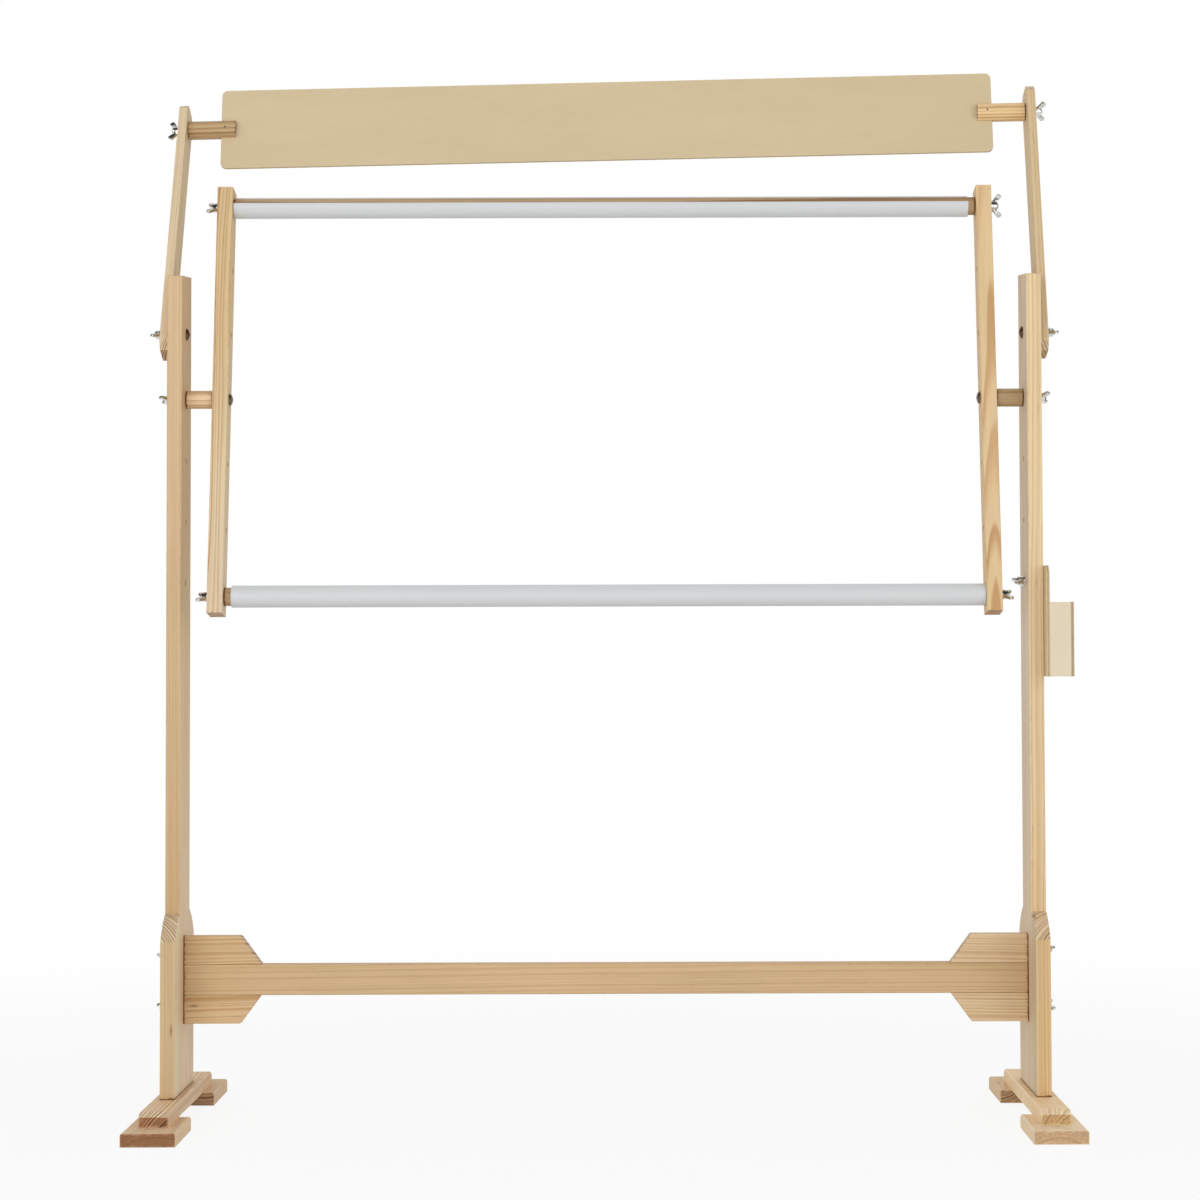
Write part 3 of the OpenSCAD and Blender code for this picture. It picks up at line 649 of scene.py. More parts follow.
class Plank:
    """Where a board lies: its centre, half sizes and directions, from a CAD node's vertices."""

    def __init__(self, node, along, out):
        self.along = along.normalized()
        side = self.along.cross(out).normalized()
        self.rows = Matrix((side, side.cross(self.along) * -1, self.along))
        points = [self.rows @ vertex.co for vertex in frame["nodes"][node].data.vertices]
        low = Vector([min(point[i] for point in points) for i in range(3)])
        high = Vector([max(point[i] for point in points) for i in range(3)])
        self.half = (high - low) / 2
        self.middle = (high + low) / 2

    def mapping(self, wiring):
        """Object coordinates turned so that Z runs along the board from its centre."""
        source = wiring.add("TexCoord")
        return wiring.add(
            "Mapping",
            {
                "Vector": source.outputs["Object"],
                "Rotation": self.rows.to_euler(),
                "Location": -self.middle,
            },
        ).outputs["Vector"], source.outputs["Normal"]


PLAIN = (1, 1, 1)


def tinted(colour, tint):
    return tuple(value * share for value, share in zip(colour, tint))


def timber_material(name, plank, early, late, settings, pith=(40, 10), lean=(0, 0), spacing=1.0,
                    strength=1.0, wander=1.0, seed=0.0, knots=(), wear_and_highlight=1.0, tint=(1, 1, 1),
                    near=PLAIN, painted_side_light=PLAIN, painted_low_side_light=None, end=(0.84, 0.76, 0.68),
                    joints=(0, 0)):
    """Pine cut from a log whose pith lies at this place, in millimetres from the board's centre.

    The tint colours the whole board and end its ends; near is the tone of its first half. The side faces get a
    tone of painted light and shade, and a second one on their first half.
    """
    material, w, shader = blank_material(name)
    centred, normal = plank.mapping(w)
    early, late = tinted(early, tint), tinted(late, tint)
    log = w.add(
        "Mapping",
        {
            "Vector": centred,
            "Location": (-pith[0] * MM, -pith[1] * MM, 0),
            "Rotation": (math.radians(lean[0]), math.radians(lean[1]), 0),
        },
    ).outputs["Vector"]
    across = w.maths("ABSOLUTE", w.vector("DOT_PRODUCT", normal, tuple(plank.along), output=1))
    wood = use_group(w, "Growth Rings", {
        "Vector": log,
        "Spacing": settings.ring_spacing * spacing,
        "Wander": settings.ring_wander * wander,
        "Strength": min(1.0, settings.ring_strength * strength),
        "Seed": seed,
        "Early Wood": early,
        "Late Wood": late,
        "Across": across,
        "End Color": end,
    })
    colour = wood["Color"]
    # Painted light and shade: the side faces are tinted lighter or darker than the front, with their own tone on
    # the first half.
    if near != PLAIN or painted_side_light != PLAIN:
        place = w.add("SeparateXYZ", {0: centred}).outputs[2]
        low = w.ramp(place, -0.8 * plank.half.z, 0.5 * plank.half.z, 1.0, 0.0)
        side = tuple(plank.rows[0])
        sideways = w.maths("ABSOLUTE", w.vector("DOT_PRODUCT", normal, side, output=1))
        painted_side_lights = w.mix(low, painted_side_light, painted_low_side_light or tinted(painted_side_light, near))
        tone = w.mix(w.ramp(sideways, 0.5, 0.9), w.mix(low, PLAIN, near), painted_side_lights)
        colour = w.mix(1.0, colour, tone, "MULTIPLY")
    for side, along, width, height in knots:
        place = w.add("Mapping", {
            "Vector": centred,
            "Location": (-side * MM, 0, -along * MM),
        }).outputs["Vector"]
        parts = w.add("SeparateXYZ", {0: place}).outputs
        tall = w.maths("MULTIPLY", parts[2], width / height)
        place = w.add("CombineXYZ", {0: parts[0], 1: tall, 2: parts[1]}).outputs[0]
        colour = use_group(w, "Knot", {
            "Vector": place,
            "Radius": width / 2 * MM,
            "Color": colour,
            "Eye Color": settings.joint,
            "Amount": 0.85,
        })["Color"]
    # Paler colour for the edges: wear and a painted highlight.
    pale = tuple(min(1.0, value * 1.16 + 0.02) for value in early)
    edges = use_group(w, "Worn And Highlit Edges", {
        "Vector": centred,
        "Half Size": plank.half,
        "Width": settings.wear_and_highlight_width,
        "Color": colour,
        "Worn And Highlit Color": pale,
        "Amount": settings.wear_and_highlight_amount * wear_and_highlight,
        "Roughness": wood["Roughness"],
    })
    colour = edges["Color"]
    # Painted shade in the gaps at the ends where the board meets the next part.
    if any(joints):
        colour = use_group(w, "Joint Shade Lines", {
            "Vector": centred,
            "Half Length": plank.half.z,
            "Width": settings.joint_shade_width,
            "Near End": joints[0],
            "Far End": joints[1],
            "Color": colour,
            "Gap Shade Color": settings.joint,
        })["Color"]
    w.tree.links.new(colour, shader.inputs["Base Color"])
    w.tree.links.new(edges["Roughness"], shader.inputs["Roughness"])
    add_relief(w, shader, wood["Height"], settings.grain_depth, 0.0004)
    shader.inputs["Specular IOR Level"].default_value = 0.45
    return material


def plywood_material(name, plank, settings, seed=0.0, tint=(1, 1, 1)):
    material, w, shader = blank_material(name)
    centred, _ = plank.mapping(w)
    sheet = use_group(w, "Veneer", {
        "Vector": centred,
        "Thickness": plank.half[1] * 2,
        "Seed": seed,
        "Face": tinted(settings.veneer, tint),
        "Core": tinted(settings.core, tint),
    })
    # Paler colour for the edges: wear and a painted highlight.
    pale = tuple(min(1.0, value * 1.12 + 0.02) for value in tinted(settings.veneer, tint))
    edges = use_group(w, "Worn And Highlit Edges", {
        "Vector": centred,
        "Half Size": plank.half,
        "Width": settings.wear_and_highlight_width,
        "Color": sheet["Color"],
        "Worn And Highlit Color": pale,
        "Amount": settings.wear_and_highlight_amount * 0.7,
        "Roughness": sheet["Roughness"],
    })
    w.tree.links.new(edges["Color"], shader.inputs["Base Color"])
    w.tree.links.new(edges["Roughness"], shader.inputs["Roughness"])
    add_relief(w, shader, sheet["Height"], settings.grain_depth * 0.6, 0.0003)
    shader.inputs["Specular IOR Level"].default_value = 0.4
    return material


def plated_material(name, colour, roughness):
    found = bpy.data.materials.get(name)
    if found:
        return found
    material, w, shader = blank_material(name)
    source = w.add("TexCoord").outputs["Object"]
    plate = use_group(w, "Plating", {"Vector": source, "Color": colour, "Roughness": roughness})
    w.tree.links.new(plate["Color"], shader.inputs["Base Color"])
    w.tree.links.new(plate["Roughness"], shader.inputs["Roughness"])
    add_relief(w, shader, plate["Height"], 0.12, 0.0001)
    shader.inputs["Metallic"].default_value = 1.0
    return material


def clip_material(settings):
    found = bpy.data.materials.get("snap_clip_plastic")
    if found:
        return found
    material, w, shader = blank_material("snap_clip_plastic")
    source = w.add("TexCoord").outputs["Object"]
    skin = use_group(w, "Extruded Plastic", {
        "Vector": source,
        "Color": settings.clip,
        "Roughness": settings.clip_roughness,
    })
    w.tree.links.new(skin["Color"], shader.inputs["Base Color"])
    w.tree.links.new(skin["Roughness"], shader.inputs["Roughness"])
    add_relief(w, shader, skin["Height"], 0.1, 0.0002)
    return material


def merged_copy(node):
    """A bmesh of a CAD node with its triangles joined into whole faces."""
    made = bmesh.new()
    made.from_mesh(frame["nodes"][node].data)
    bmesh.ops.remove_doubles(made, verts=made.verts, dist=1e-6)
    bmesh.ops.dissolve_limit(
        made, angle_limit=math.radians(1), verts=made.verts, edges=made.edges,
        use_dissolve_boundaries=False, delimit=set(),
    )
    return made


def ease_edges(made, radius, segments=2, least_angle=28, wanted=None):
    """Rounds every edge that turns by more than the least angle."""
    edges = [
        edge for edge in made.edges
        if edge.is_manifold
        and edge.calc_face_angle(0) > math.radians(least_angle)
        and (wanted is None or wanted(edge))
    ]
    if edges:
        bmesh.ops.bevel(
            made, geom=edges, offset=radius, offset_type="OFFSET", segments=segments,
            profile=0.5, affect="EDGES", material=-1, clamp_overlap=True,
        )


def finish_piece(name, made, body, material, stands_for=None, weighted=True):
    """Turns a bmesh into a piece that rides on a body, smooth where it curves."""
    mesh = bpy.data.meshes.new(name)
    for face in made.faces:
        face.smooth = True
    made.to_mesh(mesh)
    made.free()
    mesh.set_sharp_from_angle(angle=math.radians(52))
    mesh.materials.append(material)
    piece = bpy.data.objects.new(name, mesh)
    bpy.context.scene.collection.objects.link(piece)
    if weighted:
        even = piece.modifiers.new("even_faces", "WEIGHTED_NORMAL")
        even.keep_sharp = True
        even.weight = 80
    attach(piece, body)
    if stands_for:
        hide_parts(stands_for)
    return piece


def board_piece(node, material, radius, rounder=None, round_radius=0, **easing):
    """A CAD board remade with eased edges, the wanted ones rounder, standing for its node."""
    made = merged_copy(node)
    if rounder:
        ease_edges(made, round_radius, segments=4, wanted=rounder)
    ease_edges(made, radius, **easing)
    return finish_piece(
        f"{node}_dressed", made, BODY_OF[node], material, stands_for=node
    )


def is_across(edge, direction):
    """Whether an edge runs along this direction."""
    ends = [vertex.co for vertex in edge.verts]
    return abs((ends[1] - ends[0]).normalized().dot(direction)) > 0.99


def turned_shape(profile, steps=32):
    """Spins a profile of (distance along, radius) points about the X axis into a closed solid."""
    made = bmesh.new()
    verts = [made.verts.new((along, radius, 0)) for along, radius in profile]
    edges = [made.edges.new(pair) for pair in zip(verts, verts[1:])]
    bmesh.ops.spin(
        made, geom=verts + edges, cent=(0, 0, 0), axis=(1, 0, 0), dvec=(0, 0, 0),
        angle=math.tau, steps=steps, use_merge=True, use_normal_flip=False, use_duplicate=False,
    )
    bmesh.ops.remove_doubles(made, verts=made.verts, dist=1e-7)
    bmesh.ops.recalc_face_normals(made, faces=made.faces)
    return made


def islands(node):
    """The vertices of each separate solid in a CAD node."""
    made = merged_copy(node)
    left = set(made.verts)
    found = []
    while left:
        group, todo = set(), [left.pop()]
        while todo:
            vertex = todo.pop()
            group.add(vertex)
            for edge in vertex.link_edges:
                other = edge.other_vert(vertex)
                if other in left:
                    left.remove(other)
                    todo.append(other)
        found.append([vertex.co.copy() for vertex in group])
    made.free()
    return found


class Rod:
    """A turned solid of the CAD: its line, its two ends and which end has the head."""

    def __init__(self, points, axis):
        axis = axis.normalized()
        low = min(axis.dot(point) for point in points)
        high = max(axis.dot(point) for point in points)
        flat = [point - axis * axis.dot(point) for point in points]
        centre = Vector([
            (min(point[i] for point in flat) + max(point[i] for point in flat)) / 2
            for i in range(3)
        ])
        ends = [0, 0]
        for point, place in zip(points, flat):
            end = 0 if axis.dot(point) < (low + high) / 2 else 1
            ends[end] = max(ends[end], (place - centre).length)
        self.radius = min(ends)
        self.head_radius = max(ends)
        if ends[1] > ends[0] + 1e-4:
            self.start, self.way = centre + axis * high, -axis
        else:
            self.start, self.way = centre + axis * low, axis
        self.length = high - low

    def place(self, made):
        """Moves a shape made along X from the origin onto the rod's line."""
        turn = X.rotation_difference(self.way).to_matrix().to_4x4()
        bmesh.ops.transform(made, matrix=Matrix.Translation(self.start) @ turn, verts=made.verts)


def threaded_profile(start, end, radius, pitch, depth):
    """Points of a thread from start to end, ending in a small chamfer and a closed tip."""
    points = []
    place = start
    while place + pitch < end - 0.6 * MM:
        points += [
            (place, radius),
            (place + pitch * 0.42, radius - depth),
            (place + pitch * 0.56, radius - depth),
        ]
        place += pitch
    points += [(place, radius), (end - 0.5 * MM, radius), (end, radius - 0.55 * MM), (end, 0)]
    return points


def join_shapes(shapes):
    """One bmesh that holds several."""
    whole = bmesh.new()
    for made in shapes:
        mesh = bpy.data.meshes.new("part")
        made.to_mesh(mesh)
        made.free()
        whole.from_mesh(mesh)
        bpy.data.meshes.remove(mesh)
    return whole


def stud_shape(rod, settings, outward, shown=14 * MM):
    """A threaded stud; outward is the direction in which its threaded end points."""
    if rod.way.dot(outward) < 0:
        rod.start, rod.way = rod.start + rod.way * rod.length, -rod.way
    begin = rod.length - shown
    profile = [(0, 0), (0, rod.radius - 0.4 * MM), (0.4 * MM, rod.radius), (begin - MM, rod.radius)]
    profile += threaded_profile(
        begin, rod.length, rod.radius, settings.thread_pitch, settings.thread_depth
    )
    made = turned_shape(profile)
    rod.place(made)
    return made


def bolt_shape(rod, settings, shown=14 * MM):
    """A domed bolt with a hexagon socket, head first along its line."""
    head = rod.head_radius
    head_height = settings.head_height
    rim = head_height * 0.25
    across = settings.socket / 2
    hexagon = across / math.cos(math.radians(30))
    profile = []
    for step in range(9):
        angle = math.radians(90 - 10 * step - 4)
        radius = head * math.cos(angle)
        if radius > hexagon * 1.12:
            profile.append((head_height - rim - (head_height - rim) * math.sin(angle), radius))
    profile = [(profile[0][0] - 0.03 * MM, hexagon * 1.08)] + profile
    profile += [
        (head_height - rim, head),
        (head_height - 0.15 * MM, head),
        (head_height, head - 0.2 * MM),
        (head_height, rod.radius),
    ]
    begin = rod.length - shown
    profile += [(begin - MM, rod.radius)]
    profile += threaded_profile(
        begin, rod.length, rod.radius, settings.thread_pitch, settings.thread_depth
    )
    made = turned_shape(profile, 48)
    rim_edges = [edge for edge in made.edges if edge.is_boundary]
    hollow = bmesh.ops.extrude_edge_only(made, edges=rim_edges)["geom"]
    ring = [item for item in hollow if isinstance(item, bmesh.types.BMVert)]
    for vertex in ring:
        angle = math.atan2(vertex.co.z, vertex.co.y)
        turn = (angle % math.radians(60)) - math.radians(30)
        radius = across / math.cos(turn)
        vertex.co.y, vertex.co.z = radius * math.cos(angle), radius * math.sin(angle)
        vertex.co.x += 0.15 * MM
    ring_edges = [edge for edge in made.edges if edge.is_boundary]
    walls = bmesh.ops.extrude_edge_only(made, edges=ring_edges)["geom"]
    floor_ring = [item for item in walls if isinstance(item, bmesh.types.BMVert)]
    bmesh.ops.translate(made, verts=floor_ring, vec=(settings.socket_depth, 0, 0))
    floor_edges = [edge for edge in made.edges if edge.is_boundary]
    tip = bmesh.ops.extrude_edge_only(made, edges=floor_edges)["geom"]
    tip = [item for item in tip if isinstance(item, bmesh.types.BMVert)]
    bmesh.ops.scale(made, vec=(1, 0, 0), verts=tip)
    bmesh.ops.translate(made, verts=tip, vec=(0.8 * MM, 0, 0))
    bmesh.ops.remove_doubles(made, verts=made.verts, dist=1e-6)
    bmesh.ops.recalc_face_normals(made, faces=made.faces)
    rod.place(made)
    return made


def wing_nut_shape(thickness, span, height, hub_radius, hub_height, bore):
    """A cast wing nut along X from its base: a hub with two swept, round-cornered wings."""
    round_up = 1 / 0.902
    made = bmesh.new()
    profile = [
        (0, bore), (0, hub_radius), (hub_height * 0.16, hub_radius),
        (hub_height * 0.78, hub_radius * 0.84), (hub_height, hub_radius * 0.78), (hub_height, bore),
    ]
    start = math.radians(-22.5)
    verts = [
        made.verts.new((along, radius * round_up * math.cos(start), radius * round_up * math.sin(start)))
        for along, radius in profile
    ]
    edges = [made.edges.new((verts[i], verts[(i + 1) % len(verts)])) for i in range(len(verts))]
    bmesh.ops.spin(
        made, geom=verts + edges, cent=(0, 0, 0), axis=(1, 0, 0), dvec=(0, 0, 0),
        angle=math.tau, steps=8, use_merge=True, use_normal_flip=False, use_duplicate=False,
    )
    bmesh.ops.remove_doubles(made, verts=made.verts, dist=1e-7)
    bmesh.ops.recalc_face_normals(made, faces=made.faces)
    tip = span / 2
    half = thickness / 2
    stations = [
        ((0.30 * height, 0.57 * tip), (0.66 * height, 0.43 * tip), half * 1.2),
        ((0.43 * height, 0.74 * tip), (0.79 * height, 0.53 * tip), half),
        ((0.55 * height, 0.90 * tip), (0.92 * height, 0.63 * tip), half),
        ((0.67 * height, 1.03 * tip), (1.03 * height, 0.75 * tip), half),
        ((0.76 * height, 1.05 * tip), (1.03 * height, 0.85 * tip), half * 0.9),
    ]
    for sign in (-1, 1):
        root = max(
            (face for face in made.faces if abs(face.normal.x) < 0.6),
            key=lambda face: face.calc_center_median().y * sign
            - abs(face.calc_center_median().z) * 3
            - abs(face.calc_center_median().x - hub_height * 0.47) * 3,
        )
        for low, high, thick in stations:
            grown = bmesh.ops.extrude_discrete_faces(made, faces=[root])["faces"]
            root = grown[0]
            middle = sum(vertex.co.x for vertex in root.verts) / 4
            for vertex in root.verts:
                along, out = high if vertex.co.x > middle else low
                side = 1 if vertex.co.z > 0 else -1
                vertex.co = (along, sign * out, side * thick)
        for side in (-1, 1):
            flat = [
                face for face in made.faces
                if face.calc_center_median().y * sign > 0.5 * tip and face.normal.z * side > 0.8
            ]
            bmesh.ops.inset_region(made, faces=flat, thickness=0.8 * MM, depth=-0.4 * MM)
    crease = made.edges.layers.float.get("crease_edge") or made.edges.layers.float.new("crease_edge")
    for edge in made.edges:
        ends = [vertex.co for vertex in edge.verts]
        if all(abs(end.x) < 1e-6 for end in ends):
            edge[crease] = 0.75
        elif all(abs(end.x - hub_height) < 1e-6 for end in ends):
            edge[crease] = 0.5
    return made


class NutSeat:
    """Where one wing nut sits, from its joint and its CAD node."""

    def __init__(self, node):
        joint = JOINT[f"{node}_turn"]
        self.centre = Vector(joint["pos_m"])
        axis = Vector(joint["axis"]).normalized()
        points = [vertex.co for vertex in frame["nodes"][node].data.vertices]
        arms = [(point - self.centre) for point in points]
        reach = [axis.dot(arm) for arm in arms]
        self.out = axis if max(reach) > -min(reach) else -axis
        reach = [self.out.dot(arm) for arm in arms]
        self.base = self.centre + self.out * min(reach)
        self.height = max(reach) - min(reach)
        flat = [arm - self.out * self.out.dot(arm) for arm in arms]
        farthest = max(flat, key=lambda arm: arm.length)
        self.span = farthest.length * 2
        self.across = farthest.normalized()

    def matrix(self):
        third = self.out.cross(self.across)
        turn = Matrix((self.out, self.across, third)).transposed().to_4x4()
        return Matrix.Translation(self.base) @ turn


WING_NUTS = [name for name in frame["nodes"] if name.endswith("_nut")]


def settings_of(context):
    return context.scene.stand_timber, context.scene.stand_fittings, context.scene.stand_studio


class STAND_OT_feet(bpy.types.Operator):
    """Four foot pads and two foot rails of red pine, with the screws that hold them"""

    bl_idname = "floor_stand.feet"
    bl_label = "Feet"
    bl_options = {"REGISTER", "UNDO"}

    def execute(self, context):
        timber, fittings, _ = settings_of(context)
        # The side-face tones in these cuts are painted light and shade.
        cuts = {
            "left_front_pad": dict(pith=(6, 62), lean=(0, 3), seed=1.3, spacing=0.5,
                                   strength=0.3, tint=(1.06, 1.04, 1.06), painted_side_light=(1.03, 1.1, 1.06),
                                   end=(0.45, 0.27, 0.16)),
            "left_rear_pad": dict(pith=(22, -46), lean=(0, -3), seed=2.9, spacing=0.8,
                                  strength=0.5, end=(0.7, 0.56, 0.44)),
            "right_front_pad": dict(pith=(-26, 40), lean=(3, 28), seed=4.1, strength=0.15,
                                    tint=(1.3, 1.46, 1.58), end=(0.8, 0.66, 0.56)),
            "right_rear_pad": dict(pith=(-28, -38), lean=(2, -4), seed=5.7, spacing=0.7,
                                   strength=0.5, tint=(1.1, 1.14, 1.1), end=(0.66, 0.54, 0.42)),
            "left_foot_rail": dict(pith=(46, 42), lean=(0, 0.6), seed=6.2, spacing=0.52,
                                   strength=0.9, wander=0.5, tint=(1.14, 1.15, 1.16),
                                   end=(0.58, 0.39, 0.27)),
            "right_foot_rail": dict(pith=(-53, 24), lean=(3, 28), seed=7.8, spacing=0.8,
                                    strength=0.4, wander=0.5, tint=(1.34, 1.42, 1.42),
                                    end=(0.79, 0.67, 0.49)),
        }
        for node, cut in cuts.items():
            plank = Plank(node, Y, UP)
            material = timber_material(
                f"{node}_pine", plank, timber.red, timber.red_line, timber, **cut
            )
            board_piece(node, material, timber.foot_easing, segments=3)
        screws = frame["nodes"]["foot_screws"]
        screws.data.materials.clear()
        screws.data.materials.append(
            plated_material("bright_zinc", fittings.zinc, fittings.zinc_roughness)
        )
        return {"FINISHED"}


class STAND_OT_uprights(bpy.types.Operator):
    """Two uprights and the four shaped cheeks glued to them"""

    bl_idname = "floor_stand.uprights"
    bl_label = "Uprights and Cheeks"
    bl_options = {"REGISTER", "UNDO"}

    def execute(self, context):
        timber, _, _ = settings_of(context)
        # The side-face tones, on the whole side and on its lower half, are painted light and shade.
        posts = {
            "left_upright": dict(pith=(-70, 14), lean=(0, 0.25), seed=11.4, spacing=0.7,
                                 strength=0.5, tint=(0.92, 0.9, 0.88), near=(0.84, 0.8, 0.67),
                                 painted_side_light=(0.94, 0.92, 0.79), painted_low_side_light=(1.12, 1.2, 1.32)),
            "right_upright": dict(pith=(46, 20), lean=(0, -0.3), seed=12.9, spacing=0.85,
                                  strength=0.8, tint=(1.16, 1.27, 1.28), near=(0.88, 0.79, 0.75),
                                  painted_side_light=(0.85, 0.91, 1.1), painted_low_side_light=(0.87, 0.86, 0.97)),
        }
        for node, cut in posts.items():
            plank = Plank(node, UP, FRONT)
            # The ends of each post get painted shade where they meet the next part.
            material = timber_material(
                f"{node}_pine", plank, timber.pine, timber.pine_line, timber, joints=(1, 0.5), **cut
            )
            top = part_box(node)[1][2] - 3 * timber.end_rounding
            board_piece(
                node, material, timber.easing, round_radius=timber.end_rounding,
                rounder=lambda edge: is_across(edge, X) and all(v.co.z > top for v in edge.verts),
            )
        # The log's pith lies beside each cheek, so its rings cross the sloping shoulder aslant
        # The side-face tones in these cuts are painted light and shade.
        cheeks = {
            "left_front_cheek": dict(pith=(-85, -110), lean=(0.4, 0.3), seed=14.2,
                                     knots=[(4.2, -25, 1.7, 9)], tint=(0.85, 0.79, 0.69),
                                     painted_side_light=(1.28, 1.48, 1.76)),
            "left_rear_cheek": dict(pith=(-60, -44), lean=(1, 0), seed=15.6, painted_side_light=(1, 1.04, 1.1)),
            "right_front_cheek": dict(pith=(85, -110), lean=(-0.4, 0.3), seed=16.1,
                                      knots=[(-6.7, 97.5, 3, 3)], tint=(0.94, 0.84, 0.65),
                                      painted_side_light=(0.9, 1.04, 1.38)),
            "right_rear_cheek": dict(pith=(60, -40), lean=(-1, 0), seed=17.5),
        }
        for node, cut in cheeks.items():
            plank = Plank(node, UP, FRONT)
            # The foot of each cheek gets painted shade where it meets the rail.
            material = timber_material(
                f"{node}_pine", plank, timber.pale, timber.pale_line, timber,
                spacing=0.5, strength=0.65, wander=0.3, joints=(1, 0), **cut
            )
            board_piece(node, material, timber.easing)
        return {"FINISHED"}


class STAND_OT_crossbar(bpy.types.Operator):
    """The crossbar with its glued ears"""

    bl_idname = "floor_stand.crossbar"
    bl_label = "Crossbar"
    bl_options = {"REGISTER", "UNDO"}

    def execute(self, context):
        timber, _, _ = settings_of(context)
        plank = Plank("crossbar", X, FRONT)
        # Both ends get painted shade where they meet the posts.
        material = timber_material(
            "crossbar_pine", plank, timber.pine, timber.pine_line, timber, joints=(1, 1),
            pith=(38, -16), lean=(0.3, 0.4), seed=21.3, strength=0.6, tint=(0.89, 0.855, 0.78),
        )
        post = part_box("crossbar")[1][0] - MM
        at_post = dict(
            round_radius=timber.joint_easing,
            rounder=lambda edge: all(abs(v.co.x) > post for v in edge.verts),
        )
        board_piece("crossbar", material, timber.easing * 1.4, **at_post)
        for node, cut in {
            "left_ears": dict(pith=(60, -14), lean=(0.8, 1.0), seed=23.1, joints=(1, 0),
                              knots=[(29.5, -33, 1.8, 7)], tint=(0.91, 0.82, 0.71)),
            "right_ears": dict(pith=(-64, -20), lean=(-0.8, -1.0), seed=24.8, joints=(0, 1),
                               tint=(0.98, 0.95, 0.9)),
        }.items():
            plank = Plank(node, X, FRONT)
            material = timber_material(
                f"{node}_pine", plank, timber.pale, timber.pine_line, timber, strength=0.95, **cut
            )
            board_piece(node, material, timber.easing, **at_post)
        return {"FINISHED"}


class STAND_OT_roller_frame(bpy.types.Operator):
    """The two side bars of the roller frame and the spacer dowels beside them"""

    bl_idname = "floor_stand.roller_frame"
    bl_label = "Roller Frame"
    bl_options = {"REGISTER", "UNDO"}

    def execute(self, context):
        timber, _, _ = settings_of(context)
        for node, cut in {
            "left_side_bar": dict(pith=(-22, -34), lean=(0.3, 0.5), seed=31.6, spacing=0.62,
                                  wander=3.2, tint=(0.94, 0.88, 0.75), near=(1.05, 1.15, 1.4)),
            "right_side_bar": dict(pith=(-4, -30), lean=(-0.7, 0.7), seed=32.4, spacing=0.6,
                                   tint=(0.99, 0.93, 0.79)),
        }.items():
            plank = Plank(node, BAR_UP, BAR_FRONT)
            material = timber_material(
                f"{node}_pine", plank, timber.pale, timber.pine_line, timber,
                strength=1.2, **cut
            )
            foot = plank.middle.z - plank.half.z + MM
            board_piece(
                node, material, timber.easing, round_radius=timber.end_rounding,
                rounder=lambda edge: is_across(edge, X)
                and all(BAR_UP.dot(v.co) < foot for v in edge.verts),
            )
        for node, seed, tint in (
            ("left_spacer", 33.2, (1.34, 1.46, 1.7)),
            ("right_spacer", 34.7, (0.76, 0.78, 0.76)),
        ):
            plank = Plank(node, X, FRONT)
            # Both ends get painted shade where they meet the next part.
            material = timber_material(
                f"{node}_pine", plank, timber.dowel, timber.dowel_line, timber,
                pith=(22, 8), seed=seed, wear_and_highlight=0, tint=tint, joints=(1, 1),
            )
            board_piece(node, material, timber.easing * 0.6)
        return {"FINISHED"}


class STAND_OT_rollers(bpy.types.Operator):
    """The two wooden rollers and the snap-on clips that cover them"""

    bl_idname = "floor_stand.rollers"
    bl_label = "Rollers and Clips"
    bl_options = {"REGISTER", "UNDO"}

    def execute(self, context):
        timber, fittings, _ = settings_of(context)
        for node, seed in (("top_roller", 41.5), ("bottom_roller", 42.3)):
            plank = Plank(node, X, FRONT)
            # Both ends get painted shade where they meet the side bars.
            material = timber_material(
                f"{node}_pine", plank, timber.dowel, timber.dowel_line, timber, joints=(1, 1),
                pith=(26, 12), seed=seed, wear_and_highlight=0, spacing=0.8, tint=(0.72, 0.7, 0.7),
            )
            board_piece(node, material, timber.easing * 0.6)
        for node in ("top_clip", "bottom_clip"):
            board_piece(node, clip_material(fittings), 0.3 * MM)
        return {"FINISHED"}


class STAND_OT_pattern_arms(bpy.types.Operator):
    """The two arms that carry the pattern board"""

    bl_idname = "floor_stand.pattern_arms"
    bl_label = "Pattern Arms"
    bl_options = {"REGISTER", "UNDO"}

    def execute(self, context):
        timber, _, _ = settings_of(context)
        # The left arm's side-face tone is painted shade.
        for side, cut in {
            "left": dict(pith=(-48, -12), lean=(0.4, 0.3), seed=51.9, strength=0.7, spacing=0.8,
                         tint=(1.0, 1.04, 1.08), painted_side_light=(0.9, 0.86, 0.76)),
            "right": dict(pith=(46, -16), lean=(-0.4, 0.3), seed=52.6, strength=0.6, spacing=0.8,
                          tint=(0.89, 0.87, 0.78)),
        }.items():
            along = arm_direction(side)
            plank = Plank(f"{side}_arm", along, X.cross(along) * -1)
            material = timber_material(
                f"{side}_arm_pine", plank, timber.pale, timber.pale_line, timber, **cut
            )
            board_piece(f"{side}_arm", material, timber.easing)
        return {"FINISHED"}


